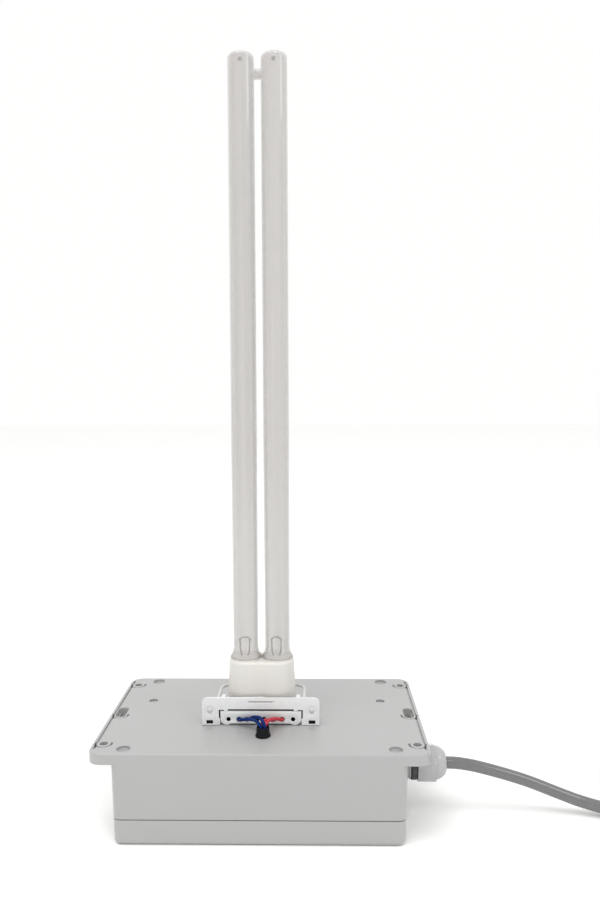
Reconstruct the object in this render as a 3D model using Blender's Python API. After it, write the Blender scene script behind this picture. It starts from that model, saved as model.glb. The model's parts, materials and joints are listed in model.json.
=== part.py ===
"""Twin-tube UV-C lamp unit: a flanged ballast box that carries a plug-in germicidal lamp.

Lengths below are in millimetres and the objects are made in metres.
+X is the side of the cable gland, -Y is the front and +Z is up.
The origin is the centre of the lid's underside, which the unit stands on.
"""
import math

import bmesh
import bpy
from mathutils import Matrix, Vector

MM = 0.001
GAP = 0.3            # clearance between neighbouring pieces

# Driving sizes of the moulded box
BOX_X = 171.0
BOX_Y = 121.0
BOX_TOP = 55.0
SEAM_Z = 15.4        # middle of the joint between lid and body
SEAM_HALF = 0.2
DRAFT = 0.9          # how much each wall leans in, from the flange down to the lid
WALL = 2.6
PANEL = 3.0          # thickness of the top panel
CORNER_R = 4.5
HOLLOW_R = 6.0
FLANGE_X = 198.0
FLANGE_T = 6.5
FLANGE_R = 8.0
FLANGE_Z = BOX_TOP - FLANGE_T
PANEL_Z = BOX_TOP - PANEL

# Fixing features in the flange
GROOVE_DEPTH = 3.2
GROOVE_X = (95.6, 97.0)
GROOVE_Y = 54.0
BOSS_GAP = 1.15      # width of the moat in front of each boss
EAR_HOLE = (92.2, 46.7)
EAR_BOSS_R = 4.2
EAR_HOLE_R = 2.5
KEYHOLE_X = 92.3
KEYHOLE_Y = -1.0
KEYHOLE_BOSS = (4.2, 8.5)
KEYHOLE_POCKET = (3.2, 7.5)
KEYHOLE_SLOT_R = 2.25
KEYHOLE_HEAD_R = 3.0

# Lid screws and the posts they run in
POST = (79.0, 53.4)
POST_R = 4.8
PILOT_R = 1.7
SCREW_R = 1.45
DIMPLE_R = 4.1
DIMPLE_DEPTH = 1.8

# Ballast under the top panel
BALLAST_Y = 18.5
BALLAST_FIX_X = 75.9
BALLAST_HALF_Y = 20.0
BALLAST_HALF_X = 58.0
BALLAST_LOW = 26.0
BASE_T = 1.0
BASE_END_X = 80.0
COVER_T = 0.8
BOARD_Z = (47.0, 48.6)
CHOKE_X = (-32.0, -8.0)
CAPACITOR_X = 22.0
TERMINAL_FACE_Y = 8.0
TERMINAL_Z = 43.5
MAINS_TERMINAL_X = (61.6, 66.2)
LAMP_TERMINAL_X = (-60.3, -63.2, -66.1, -69.0)

# Mains terminal block and the lead's inner end
BLOCK_X = (22.0, 42.0)
BLOCK_Y = (-33.0, -17.0)
BLOCK_Z = (37.5, 51.7)
BLOCK_POLES = (27.0, 37.0)
BLOCK_WIRE_Z = 42.0
EARTH_TAG = (44.0, -5.5)
INLET_END_X = 66.0
CORE_SETBACK = 0.8   # how far each core reaches into the lead
WIRE_TUCK = 4.5      # how far each wire reaches into its terminal

# Wire outlet and the lamp wires
OUTLET = (1.0, -35.7)
WIRE_R = 1.05
WIRE_PITCH = 1.2     # half the spacing of the four wires in the outlet

# Lamp holder and its bracket
LAMP_GROUP_X = -1.3  # centre line of the bracket, holder, bail and lamp
BRACKET_X = 36.5
BRACKET_FRONT = -20.9
BRACKET_TOP = 72.7
SHEET = 1.1
HOLDER_X = 25.0
HOLDER_TOP = 63.2
HOLDER_BACK = 6.2
FRONT_HOLE_Z = 59.0
WIRE_ENTRIES = (-13.6, -8.8, -2.2, 2.0, 8.3, 13.3)

# Lamp
LAMP_Y = -6.0
CAP_LOW = 63.5
CAP_TOP = 93.4
CAP_HALF_Y = 11.5
CAP_HALF_X = 21.75
TUBE_X = 10.0
TUBE_R = 8.0
GLASS_T = 0.8
FLARE = ((9.6, 0.4), (9.1, 1.9), (8.5, 4.0), (8.15, 6.0))  # tube radius and rise above the cap
LAMP_TIP = 463.5
SOCKET_Z = 80.0
BRIDGE_Z = LAMP_TIP - 12.6
PIN_X = (-16.5, -5.5, 5.5, 16.5)
PIN_R = 1.18
ELECTRODE_R = 0.35

# Retaining bail
BAIL_R = 1.05
BAIL_PIVOT_Y = -17.0
BAIL_PIVOT_Z = 70.7
BAIL_HALF_X = 26.7
BAIL_BACK_Y = 8.4
BAIL_DROP = 0.6      # how much lower the back bar sits than the hooks

# Cable gland, power cord and plug
GLAND_Y = -22.0
GLAND_Z = 32.5
GLAND_MOUTH = 112.8
CORD_R = 3.65
COIL_X = 280.0
COIL_MEAN_R = 42.5
COIL_LANE_Y = -42.0  # line along which the cord meets the coil and leaves it
COIL_LOW = 1.0
COIL_TURNS_ACROSS = 3
COIL_LAYERS = 2
COIL_CENTRE = (COIL_X, COIL_LANE_Y + COIL_MEAN_R + CORD_R * (COIL_TURNS_ACROSS - 1))
PLUG_TIP_X = COIL_X + 50.0
PLUG_LENGTH = 64.0
PLUG_R = 18.5
PLUG_TIP_R = 5.0
PLUG_SHOULDER = 48.0
PLUG_PIN_PITCH = 9.5
PLUG_PIN_R = 2.4
PLUG_PIN_LENGTH = 19.0

# Base colour, roughness and metallic value of each finish
FINISHES = {
    "grey_abs": ((0.56, 0.57, 0.57), 0.32, 0.0),
    "grey_lid": ((0.50, 0.50, 0.48), 0.36, 0.0),
    "black_rubber": ((0.02, 0.02, 0.022), 0.6, 0.0),
    "white_enamel": ((0.82, 0.83, 0.84), 0.3, 0.0),
    "white_plastic": ((0.8, 0.81, 0.82), 0.4, 0.0),
    "cap_plastic": ((0.72, 0.69, 0.62), 0.35, 0.0),
    "lamp_glass": ((0.9, 0.9, 0.87), 0.05, 0.0),
    "nickel": ((0.62, 0.6, 0.56), 0.28, 1.0),
    "steel": ((0.6, 0.6, 0.61), 0.35, 1.0),
    "zinc": ((0.66, 0.67, 0.68), 0.42, 1.0),
    "brass": ((0.72, 0.53, 0.24), 0.3, 1.0),
    "circuit_board": ((0.08, 0.26, 0.12), 0.5, 0.0),
    "ferrite": ((0.05, 0.05, 0.055), 0.6, 0.0),
    "film_blue": ((0.05, 0.12, 0.4), 0.35, 0.0),
    "wire_blue": ((0.012, 0.04, 0.21), 0.38, 0.0),
    "wire_red": ((0.58, 0.03, 0.05), 0.38, 0.0),
    "wire_brown": ((0.16, 0.06, 0.025), 0.4, 0.0),
    "wire_green": ((0.1, 0.36, 0.06), 0.4, 0.0),
    "gland_grey": ((0.52, 0.53, 0.54), 0.3, 0.0),
    "cord_grey": ((0.16, 0.165, 0.17), 0.3, 0.0),
}


def clear_scene():
    """Remove every object left in the file."""
    for item in list(bpy.data.objects):
        bpy.data.objects.remove(item, do_unlink=True)


# ---------------------------------------------------------------- shapes in millimetres

def rounded_loop(half_x, half_y, radius, steps=3, centre=(0.0, 0.0)):
    """Points of a rounded rectangle, anticlockwise."""
    points = []
    for corner, (side_x, side_y) in enumerate(((1, 1), (-1, 1), (-1, -1), (1, -1))):
        for step in range(steps + 1):
            angle = math.radians(90 * (corner + step / steps))
            x = side_x * (half_x - radius) + radius * math.cos(angle)
            y = side_y * (half_y - radius) + radius * math.sin(angle)
            points.append((centre[0] + x, centre[1] + y))
    return points


def at_height(loop, z):
    """Lift a plane loop to height z."""
    return [(x, y, z) for x, y in loop]


def loft(bm, loops):
    """Skin a stack of loops of equal length and close both ends."""
    rings = [[bm.verts.new(point) for point in loop] for loop in loops]
    count = len(rings[0])
    for low, high in zip(rings, rings[1:]):
        for i in range(count):
            j = (i + 1) % count
            bm.faces.new((low[i], low[j], high[j], high[i]))
    bm.faces.new(list(reversed(rings[0])))
    bm.faces.new(rings[-1])


def slab(bm, x_span, y_span, z_span, radius=0.0, steps=3):
    """Upright block, with rounded vertical edges where a radius is given."""
    half_x = (x_span[1] - x_span[0]) / 2
    half_y = (y_span[1] - y_span[0]) / 2
    centre = ((x_span[0] + x_span[1]) / 2, (y_span[0] + y_span[1]) / 2)
    if radius > 0:
        loop = rounded_loop(half_x, half_y, radius, steps, centre)
    else:
        loop = [(centre[0] + sx * half_x, centre[1] + sy * half_y)
                for sx, sy in ((1, 1), (-1, 1), (-1, -1), (1, -1))]
    loft(bm, [at_height(loop, z_span[0]), at_height(loop, z_span[1])])


def plate(bm, outline, y_span):
    """Upright plate: an outline of (x, z) points, extruded along Y."""
    loft(bm, [[(x, y, z) for x, z in outline] for y in y_span])


def turned(bm, profile, place=None, segments=14, closed=False):
    """Turn a profile of (radius, height) points about local Z. A closed profile makes a ring."""
    place = place or Matrix.Identity(4)
    rings = []
    for radius, height in profile:
        if radius == 0:
            rings.append([bm.verts.new(place @ Vector((0, 0, height)))])
            continue
        turns = [2 * math.pi * (i + 0.5) / segments for i in range(segments)]
        rings.append([bm.verts.new(place @ Vector((radius * math.cos(a), radius * math.sin(a), height)))
                      for a in turns])
    pairs = list(zip(rings, rings[1:]))
    if closed:
        pairs.append((rings[-1], rings[0]))
    for low, high in pairs:
        for i in range(segments):
            j = (i + 1) % segments
            corners = (low[i % len(low)], low[j % len(low)], high[j % len(high)], high[i % len(high)])
            bm.faces.new(list(dict.fromkeys(corners)))


def rod(bm, radius, span, place=None, segments=10):
    """Plain cylinder along local Z."""
    turned(bm, [(0, span[0]), (radius, span[0]), (radius, span[1]), (0, span[1])], place, segments)


def upright(x, y):
    """Placement on a vertical axis."""
    return Matrix.Translation((x, y, 0))


def along_x(y, z):
    """Placement on an axis along +X."""
    return Matrix.Translation((0, y, z)) @ Matrix.Rotation(math.radians(90), 4, "Y")


def along_y(x, z):
    """Placement on an axis along +Y."""
    return Matrix.Translation((x, 0, z)) @ Matrix.Rotation(math.radians(-90), 4, "X")


def arc(centre, radius, start, end, steps):
    """Points of an arc in a plane, from start to end in degrees."""
    turns = [math.radians(start + (end - start) * i / steps) for i in range(steps + 1)]
    return [(centre[0] + radius * math.cos(a), centre[1] + radius * math.sin(a)) for a in turns]


def smooth_route(points, spacing):
    """Points about one spacing apart on a smooth curve through the route's own points."""
    knots = [Vector(p) for p in points]
    knots = [2 * knots[0] - knots[1]] + knots + [2 * knots[-1] - knots[-2]]
    fine = []
    for i in range(1, len(knots) - 2):
        a, b, c, d = knots[i - 1:i + 3]
        steps = max(1, round((c - b).length / spacing))
        for step in range(steps):
            t = step / steps
            fine.append(0.5 * (2 * b + (c - a) * t + (2 * a - 5 * b + 4 * c - d) * t ** 2
                               + (3 * b - a - 3 * c + d) * t ** 3))
    fine.append(knots[-2])
    return fine


# ---------------------------------------------------------------- objects

def finish_material(name, finish):
    """A Principled material of the sub-part's own."""
    colour, roughness, metallic = FINISHES[finish]
    material = bpy.data.materials.new(name + "_finish")
    material.use_nodes = True
    shader = material.node_tree.nodes["Principled BSDF"]
    shader.inputs["Base Color"].default_value = (*colour, 1.0)
    shader.inputs["Roughness"].default_value = roughness
    shader.inputs["Metallic"].default_value = metallic
    return material


def link(item):
    """Put an object in the scene."""
    bpy.context.scene.collection.objects.link(item)
    return item


def mesh_of(name, draw):
    """Mesh in metres from a drawing function, with its faces pointing out."""
    bm = bmesh.new()
    draw(bm)
    bmesh.ops.recalc_face_normals(bm, faces=bm.faces)
    bmesh.ops.scale(bm, vec=(MM, MM, MM), verts=bm.verts)
    mesh = bpy.data.meshes.new(name)
    bm.to_mesh(mesh)
    bm.free()
    mesh.shade_smooth()
    mesh.set_sharp_from_angle(angle=math.radians(32))
    return mesh


def boolean(target, name, operation, draw):
    """Add or cut the solids that a function draws, and return the tool."""
    tool = link(bpy.data.objects.new(name, mesh_of(name, draw)))
    tool.hide_render = True
    tool.display_type = "WIRE"
    modifier = target.modifiers.new(name, "BOOLEAN")
    modifier.operation = operation
    modifier.object = tool
    return tool


def piece(name, finish, draw, cut=None, add=None, cut_after=None):
    """One solid sub-part: drawn, then cut, added to and cut again."""
    item = link(bpy.data.objects.new(name, mesh_of(name, draw)))
    item.data.materials.append(finish_material(name, finish))
    if cut:
        boolean(item, name + "_cut", "DIFFERENCE", cut)
    if add:
        boolean(item, name + "_add", "UNION", add)
    if cut_after:
        boolean(item, name + "_cut_after", "DIFFERENCE", cut_after)
    return item


def wire(name, finish, radius, points, spacing, sides=1):
    """A round wire or cord along a smooth route, with flat ends."""
    curve = bpy.data.curves.new(name, "CURVE")
    curve.dimensions = "3D"
    curve.bevel_depth = radius * MM
    curve.bevel_resolution = sides
    curve.use_fill_caps = True
    spline = curve.splines.new("POLY")
    route = smooth_route(points, spacing)
    spline.points.add(len(route) - 1)
    for knot, place in zip(spline.points, route):
        knot.co = (*(place * MM), 1.0)
    curve.materials.append(finish_material(name, finish))
    return link(bpy.data.objects.new(name, curve))


def pivot(name, location):
    """Empty on a joint's axis, to parent a moving piece to."""
    item = link(bpy.data.objects.new(name, None))
    item.location = Vector(location) * MM
    return item


def parent_to(anchor, *items):
    """Parent pieces to an empty and keep them where they are."""
    for item in items:
        item.parent = anchor
        item.matrix_parent_inverse = Matrix.Translation(-anchor.location)


def on_lamp_line(build):
    """Run a build step and move all that it made over to the lamp's centre line."""
    before = set(bpy.data.objects)
    build()
    for item in set(bpy.data.objects) - before:
        if item.parent is None:
            item.location.x += LAMP_GROUP_X * MM


# ---------------------------------------------------------------- box, lid and fasteners

def lean(z):
    """How far the walls have leaned in at height z."""
    return DRAFT * (FLANGE_Z - z) / FLANGE_Z


def wall_loop(z, inset=0.0):
    """Outline of the box wall at height z, moved in by inset."""
    shrink = lean(z) + inset
    return rounded_loop(BOX_X / 2 - shrink, BOX_Y / 2 - shrink, max(CORNER_R - inset, 1.0))


def hollow_loop(z):
    """Inner outline of the walls, with corners full enough to carry the screw posts."""
    shrink = lean(z) + WALL
    return at_height(rounded_loop(BOX_X / 2 - shrink, BOX_Y / 2 - shrink, HOLLOW_R), z)


def corners(x, y):
    """The four mirrored positions of a point."""
    return [(sx * x, sy * y) for sy in (-1, 1) for sx in (-1, 1)]


def draw_box_walls(bm):
    low = SEAM_Z + SEAM_HALF
    tuck = 1.0
    loft(bm, [at_height(wall_loop(low), low),
              at_height(wall_loop(FLANGE_Z), FLANGE_Z),
              at_height(wall_loop(FLANGE_Z, tuck), FLANGE_Z + tuck)])


def draw_flange(bm):
    chamfer = 0.5
    half_x, half_y = FLANGE_X / 2, BOX_Y / 2
    loft(bm, [at_height(rounded_loop(half_x, half_y, FLANGE_R), FLANGE_Z),
              at_height(rounded_loop(half_x, half_y, FLANGE_R), BOX_TOP - chamfer),
              at_height(rounded_loop(half_x - chamfer, half_y - chamfer, FLANGE_R - chamfer), BOX_TOP)])


def draw_box_hollow(bm):
    low = SEAM_Z - 1
    loft(bm, [hollow_loop(low), hollow_loop(PANEL_Z)])


def draw_ear_grooves(bm):
    """Groove just inside each end rim."""
    low = BOX_TOP - GROOVE_DEPTH
    for side in (-1, 1):
        slab(bm, sorted((side * GROOVE_X[0], side * GROOVE_X[1])), (-GROOVE_Y, GROOVE_Y), (low, BOX_TOP + 1))


def draw_boss_moats(bm):
    """Half-round moat in front of each fixing boss."""
    keyhole_front = KEYHOLE_Y - KEYHOLE_BOSS[1] + KEYHOLE_BOSS[0]
    moats = [(x, y, EAR_BOSS_R + BOSS_GAP) for x, y in corners(*EAR_HOLE)]
    moats += [(side * KEYHOLE_X, keyhole_front, KEYHOLE_BOSS[0] + BOSS_GAP) for side in (-1, 1)]
    for x, y, radius in moats:
        loop = arc((x, y), radius, 180, 360, 8) + [(x + radius, y + 1.5), (x - radius, y + 1.5)]
        loft(bm, [at_height(loop, BOX_TOP - GROOVE_DEPTH), at_height(loop, BOX_TOP + 1)])


def draw_posts_and_bosses(bm):
    root = BOX_TOP - GROOVE_DEPTH - 1
    for x, y in corners(*POST):
        rod(bm, POST_R, (SEAM_Z + SEAM_HALF, PANEL_Z + 1), upright(x, y))
    for x, y in corners(*EAR_HOLE):
        rod(bm, EAR_BOSS_R, (root, BOX_TOP), upright(x, y))
    for side in (-1, 1):
        loop = rounded_loop(*KEYHOLE_BOSS, KEYHOLE_BOSS[0] - 0.2, 3, (side * KEYHOLE_X, KEYHOLE_Y))
        loft(bm, [at_height(loop, root), at_height(loop, BOX_TOP)])


def draw_keyhole(bm, side):
    """Teardrop slot: a round head at the front and a narrower neck behind it."""
    head_y = KEYHOLE_Y - 4.2
    neck_y = KEYHOLE_Y + 5.2
    start = math.degrees(math.asin(KEYHOLE_SLOT_R / KEYHOLE_HEAD_R))
    x = side * KEYHOLE_X
    outline = arc((x, head_y), KEYHOLE_HEAD_R, 90 + start, 450 - start, 9)
    outline += arc((x, neck_y), KEYHOLE_SLOT_R, 0, 180, 5)
    loft(bm, [at_height(outline, FLANGE_Z - 1), at_height(outline, BOX_TOP - 2.5)])


def draw_box_openings(bm):
    pocket_z = BOX_TOP - 3.0
    for x, y in corners(*POST):
        rod(bm, PILOT_R, (SEAM_Z - 1, 33), upright(x, y), 8)
        rod(bm, DIMPLE_R, (BOX_TOP - DIMPLE_DEPTH, BOX_TOP + 1), upright(x, y))
    for x, y in corners(*EAR_HOLE):
        rod(bm, EAR_HOLE_R, (FLANGE_Z - 1, BOX_TOP + 1), upright(x, y))
    for side in (-1, 1):
        loop = rounded_loop(*KEYHOLE_POCKET, KEYHOLE_POCKET[0] - 0.2, 3, (side * KEYHOLE_X, KEYHOLE_Y))
        loft(bm, [at_height(loop, pocket_z), at_height(loop, BOX_TOP + 1)])
        turned(bm, [(0, PANEL_Z - 1), (1.7, PANEL_Z - 1), (1.7, BOX_TOP - 2.2), (2.95, BOX_TOP - 2.2),
                    (2.95, BOX_TOP + 1), (0, BOX_TOP + 1)], upright(side * BALLAST_FIX_X, BALLAST_Y), 10)
        rod(bm, 1.5, (PANEL_Z - 1, BOX_TOP + 1), upright(LAMP_GROUP_X + side * 31.5, 4.0), 8)
    rod(bm, 3.9, (PANEL_Z - 1, BOX_TOP + 1), upright(*OUTLET))
    rod(bm, 7.9, (BOX_X / 2 - 6, BOX_X / 2 + 3), along_x(GLAND_Y, GLAND_Z), 16)


def build_box():
    box = piece("box_body", "grey_abs", draw_flange)
    boolean(box, "box_walls", "UNION", draw_box_walls)
    boolean(box, "box_hollow", "DIFFERENCE", draw_box_hollow)
    boolean(box, "box_ear_grooves", "DIFFERENCE", draw_ear_grooves)
    boolean(box, "box_boss_moats", "DIFFERENCE", draw_boss_moats)
    boolean(box, "box_posts", "UNION", draw_posts_and_bosses)
    boolean(box, "box_openings", "DIFFERENCE", draw_box_openings)
    for side in (-1, 1):
        name = "box_keyhole_left" if side < 0 else "box_keyhole_right"
        boolean(box, name, "DIFFERENCE", lambda bm, side=side: draw_keyhole(bm, side))


def draw_lid(bm):
    edge = 3.0
    loops = []
    for step in range(4):
        angle = math.radians(30 * step)
        z = edge * (1 - math.cos(angle))
        loops.append(at_height(wall_loop(z, edge * (1 - math.sin(angle))), z))
    top = SEAM_Z - SEAM_HALF
    loft(bm, loops + [at_height(wall_loop(top), top)])


def draw_lid_columns(bm):
    for x, y in corners(*POST):
        rod(bm, POST_R, (WALL - 1, SEAM_Z - SEAM_HALF), upright(x, y))


def draw_lid_groove(bm):
    top = SEAM_Z - SEAM_HALF
    outer, inner = wall_loop(top, 1.1), wall_loop(top, 2.8)
    ring(bm, outer, inner, (top - 2.0, top + 1))
    for x, y in corners(*POST):
        counterbore = [(0, -1), (3.4, -1), (3.4, 3.0), (1.9, 3.0), (1.9, top + 1), (0, top + 1)]
        turned(bm, counterbore, upright(x, y), 10)


def ring(bm, outer, inner, z_span):
    """Flat ring between two loops of equal length."""
    low_out, high_out = ([bm.verts.new(p) for p in at_height(outer, z)] for z in z_span)
    low_in, high_in = ([bm.verts.new(p) for p in at_height(inner, z)] for z in z_span)
    rings = (low_out, high_out, high_in, low_in)
    count = len(outer)
    for first, second in zip(rings, rings[1:] + rings[:1]):
        for i in range(count):
            j = (i + 1) % count
            bm.faces.new((first[i], first[j], second[j], second[i]))


def draw_gasket(bm):
    top = SEAM_Z - SEAM_HALF
    ring(bm, wall_loop(top, 1.4), wall_loop(top, 2.5), (top - 1.7, top + 0.1))


def build_lid():
    piece("box_lid", "grey_lid", draw_lid,
          cut=lambda bm: loft(bm, [hollow_loop(WALL), hollow_loop(SEAM_Z + 1)]),
          add=draw_lid_columns, cut_after=draw_lid_groove)
    piece("lid_gasket", "black_rubber", draw_gasket)
    for number, (x, y) in enumerate(corners(*POST), start=1):
        place = Matrix.Translation((x, y, 0)) @ Matrix.Rotation(math.pi, 4, "X")
        screw = [(0, -30), (SCREW_R * 0.5, -30), (SCREW_R, -28.8), (SCREW_R, -2.7), (3.0, -2.7),
                 (3.0, -1.0), (2.5, -0.5), (0, -0.5)]
        item = piece(f"lid_screw_{number}", "steel",
                     lambda bm, screw=screw, place=place: turned(bm, screw, place, 10))
        for turn in (0, 90):
            boolean(item, f"lid_screw_{number}_slot_{turn}", "DIFFERENCE",
                    lambda bm, place=place, turn=turn: draw_bar(bm, place, turn, 1.7, (-1.6, 0)))
        parent_to(pivot(f"lid_screw_{number}_axis", (x, y, 0)), item)


def draw_bar(bm, place, turn, reach, z_span):
    """One bar of a screw head's cross recess."""
    bar = place @ Matrix.Rotation(math.radians(turn), 4, "Z")
    loop = [(reach, 0.35), (-reach, 0.35), (-reach, -0.35), (reach, -0.35)]
    loft(bm, [[bar @ Vector((x, y, z)) for x, y in loop] for z in z_span])


# ---------------------------------------------------------------- ballast and inner wiring

def build_ballast():
    plate_top = PANEL_Z - GAP
    plate_low = plate_top - BASE_T
    y_span = (BALLAST_Y - BALLAST_HALF_Y, BALLAST_Y + BALLAST_HALF_Y)
    shell_y = (y_span[0] + COVER_T, y_span[1] - COVER_T)
    fix_holes = [(side * BALLAST_FIX_X, BALLAST_Y) for side in (-1, 1)]
    tag = EARTH_TAG

    def base_holes(bm):
        for x, y in fix_holes + [tag]:
            rod(bm, 1.9, (plate_low - 1, plate_top + 1), upright(x, y), 14)

    piece("ballast_base", "zinc",
          lambda bm: slab(bm, (-BASE_END_X, BASE_END_X), y_span, (plate_low, plate_top), 2.0),
          add=lambda bm: slab(bm, (tag[0] - 4, tag[0] + 4), (tag[1] - 4, y_span[0] + 2),
                              (plate_low, plate_top), 1.5),
          cut_after=base_holes)
    cover_x = (-BALLAST_HALF_X, BALLAST_HALF_X)
    inside_x = (cover_x[0] + COVER_T, cover_x[1] - COVER_T)
    inside_y = (shell_y[0] + COVER_T, shell_y[1] - COVER_T)
    piece("ballast_cover", "zinc",
          lambda bm: slab(bm, cover_x, shell_y, (BALLAST_LOW, plate_low - GAP), 1.5),
          cut=lambda bm: slab(bm, inside_x, inside_y, (BALLAST_LOW + COVER_T, PANEL_Z), 0.9))
    piece("ballast_board", "circuit_board",
          lambda bm: slab(bm, (3 - BALLAST_HALF_X, BALLAST_HALF_X - 3), (shell_y[0] + 1.5, shell_y[1] - 1.5),
                          BOARD_Z))
    under = BOARD_Z[0] - GAP
    core_y, waist = 10.0, 4.5

    def choke_waist(bm):
        for side in (-1, 1):
            middle = BALLAST_Y + side * (core_y + 0.5)
            slab(bm, (CHOKE_X[0] + waist, CHOKE_X[1] - waist), (middle - 4, middle + 4),
                 (BALLAST_LOW, PANEL_Z))

    piece("ballast_choke", "ferrite",
          lambda bm: slab(bm, CHOKE_X, (BALLAST_Y - core_y, BALLAST_Y + core_y), (31.5, under), 1.5),
          cut=choke_waist)
    can = [(0, 28.6), (5.2, 28.6), (6.0, 29.4), (6.0, under - 1.5), (5.5, under - 0.9), (5.5, under),
           (0, under)]
    piece("ballast_capacitor", "film_blue", lambda bm: turned(bm, can, upright(CAPACITOR_X, BALLAST_Y + 3)))
    build_ballast_terminals(plate_low)
    for side, word in ((-1, "left"), (1, "right")):
        head = BOX_TOP - 0.8
        profile = [(0, 46.5), (0.9, 46.5), (1.35, 47.5), (1.35, BOX_TOP - 1.9), (2.15, BOX_TOP - 1.9),
                   (2.15, head - 0.3), (1.9, head), (0, head)]
        place = upright(side * BALLAST_FIX_X, BALLAST_Y)
        piece("ballast_screw_" + word, "steel", lambda bm, place=place: turned(bm, profile, place, 10),
              cut=lambda bm, place=place: draw_bar(bm, place, 90, 1.3, (BOX_TOP - 1.4, BOX_TOP + 1)))


def build_ballast_terminals(plate_low):
    top = plate_low - GAP
    y_span = (TERMINAL_FACE_Y, TERMINAL_FACE_Y + 20)
    inner = BALLAST_HALF_X + GAP

    def entries(bm, xs):
        for x in xs:
            rod(bm, 1.4, (TERMINAL_FACE_Y - 1, TERMINAL_FACE_Y + 6), along_y(x, TERMINAL_Z), 8)

    piece("ballast_terminal_in", "white_plastic",
          lambda bm: slab(bm, (inner, inner + 11), y_span, (39, top), 0.6, 1),
          cut=lambda bm: entries(bm, MAINS_TERMINAL_X))
    piece("ballast_terminal_out", "white_plastic",
          lambda bm: slab(bm, (-inner - 12.6, -inner), y_span, (39, top), 0.6, 1),
          cut=lambda bm: entries(bm, LAMP_TERMINAL_X))


def build_terminal_block():
    """Two-pole mains terminal block: clamp screws below, wire entries front and back."""
    def draw_recesses(bm):
        for x in BLOCK_POLES:
            rod(bm, 1.5, (BLOCK_Y[0] - 1, BLOCK_Y[0] + 5.5), along_y(x, BLOCK_WIRE_Z), 8)
            rod(bm, 1.5, (BLOCK_Y[1] - 5.5, BLOCK_Y[1] + 1), along_y(x, BLOCK_WIRE_Z), 8)
            rod(bm, 1.6, (BLOCK_Z[0] - 1, BLOCK_Z[0] + 2.5), upright(x, -25.0), 8)
        slab(bm, (31.2, 32.8), (BLOCK_Y[0] - 1, BLOCK_Y[1] + 1), (BLOCK_Z[0] - 1, BLOCK_Z[0] + 6))

    piece("terminal_block", "white_plastic",
          lambda bm: slab(bm, BLOCK_X, BLOCK_Y, BLOCK_Z, 1.0, 2), cut=draw_recesses)


def build_inner_wiring():
    """Mains lead inside the gland, its three cores and the two wires on to the ballast."""
    piece("cable_inlet", "cord_grey",
          lambda bm: rod(bm, CORD_R, (INLET_END_X, GLAND_MOUTH), along_x(GLAND_Y, GLAND_Z), 12))
    start = INLET_END_X - CORE_SETBACK
    live, neutral = BLOCK_POLES[1], BLOCK_POLES[0]
    front = BLOCK_Y[0]
    back = BLOCK_Y[1]
    wire("mains_wire_live", "wire_brown", WIRE_R, [
        (start, GLAND_Y - 1.8, GLAND_Z + 1), (start - 8, GLAND_Y - 6, GLAND_Z + 1.5),
        (live + 13, -38, 37), (live + 4, -42.5, 40.5), (live, -39, BLOCK_WIRE_Z),
        (live, front, BLOCK_WIRE_Z), (live, front + WIRE_TUCK, BLOCK_WIRE_Z)], 4.5)
    wire("mains_wire_neutral", "wire_blue", WIRE_R, [
        (start, GLAND_Y - 0.2, GLAND_Z - 2), (start - 10, GLAND_Y - 5, GLAND_Z - 3),
        (live + 8, -40, 31), (neutral + 9, -46, 35), (neutral + 1.5, -43.5, 40),
        (neutral, -38, BLOCK_WIRE_Z),
        (neutral, front, BLOCK_WIRE_Z), (neutral, front + WIRE_TUCK, BLOCK_WIRE_Z)], 4.5)
    wire("earth_wire", "wire_green", WIRE_R, [
        (start, GLAND_Y + 1.9, GLAND_Z + 1), (start - 8, GLAND_Y + 7, GLAND_Z + 2),
        (50, -8, 37), (EARTH_TAG[0] + 0.6, -5.4, 42), (*EARTH_TAG, 46), (*EARTH_TAG, PANEL_Z - 2.2)], 4.5)
    wire("ballast_wire_live", "wire_brown", WIRE_R, [
        (live, back - WIRE_TUCK, BLOCK_WIRE_Z), (live, back + 1, BLOCK_WIRE_Z), (live + 2.5, -12.5, 41),
        (50, -10.5, 42.5), (58, -6, TERMINAL_Z), (MAINS_TERMINAL_X[0], 3, TERMINAL_Z),
        (MAINS_TERMINAL_X[0], TERMINAL_FACE_Y, TERMINAL_Z),
        (MAINS_TERMINAL_X[0], TERMINAL_FACE_Y + WIRE_TUCK, TERMINAL_Z)], 4.5)
    wire("ballast_wire_neutral", "wire_blue", WIRE_R, [
        (neutral, back - WIRE_TUCK, BLOCK_WIRE_Z), (neutral, back + 1, BLOCK_WIRE_Z),
        (neutral + 3, -10, 38.5),
        (48, -7, 32.5), (60, -6, 37.5), (MAINS_TERMINAL_X[1], 1, 42.3),
        (MAINS_TERMINAL_X[1], TERMINAL_FACE_Y, TERMINAL_Z),
        (MAINS_TERMINAL_X[1], TERMINAL_FACE_Y + WIRE_TUCK, TERMINAL_Z)], 4.5)


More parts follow.
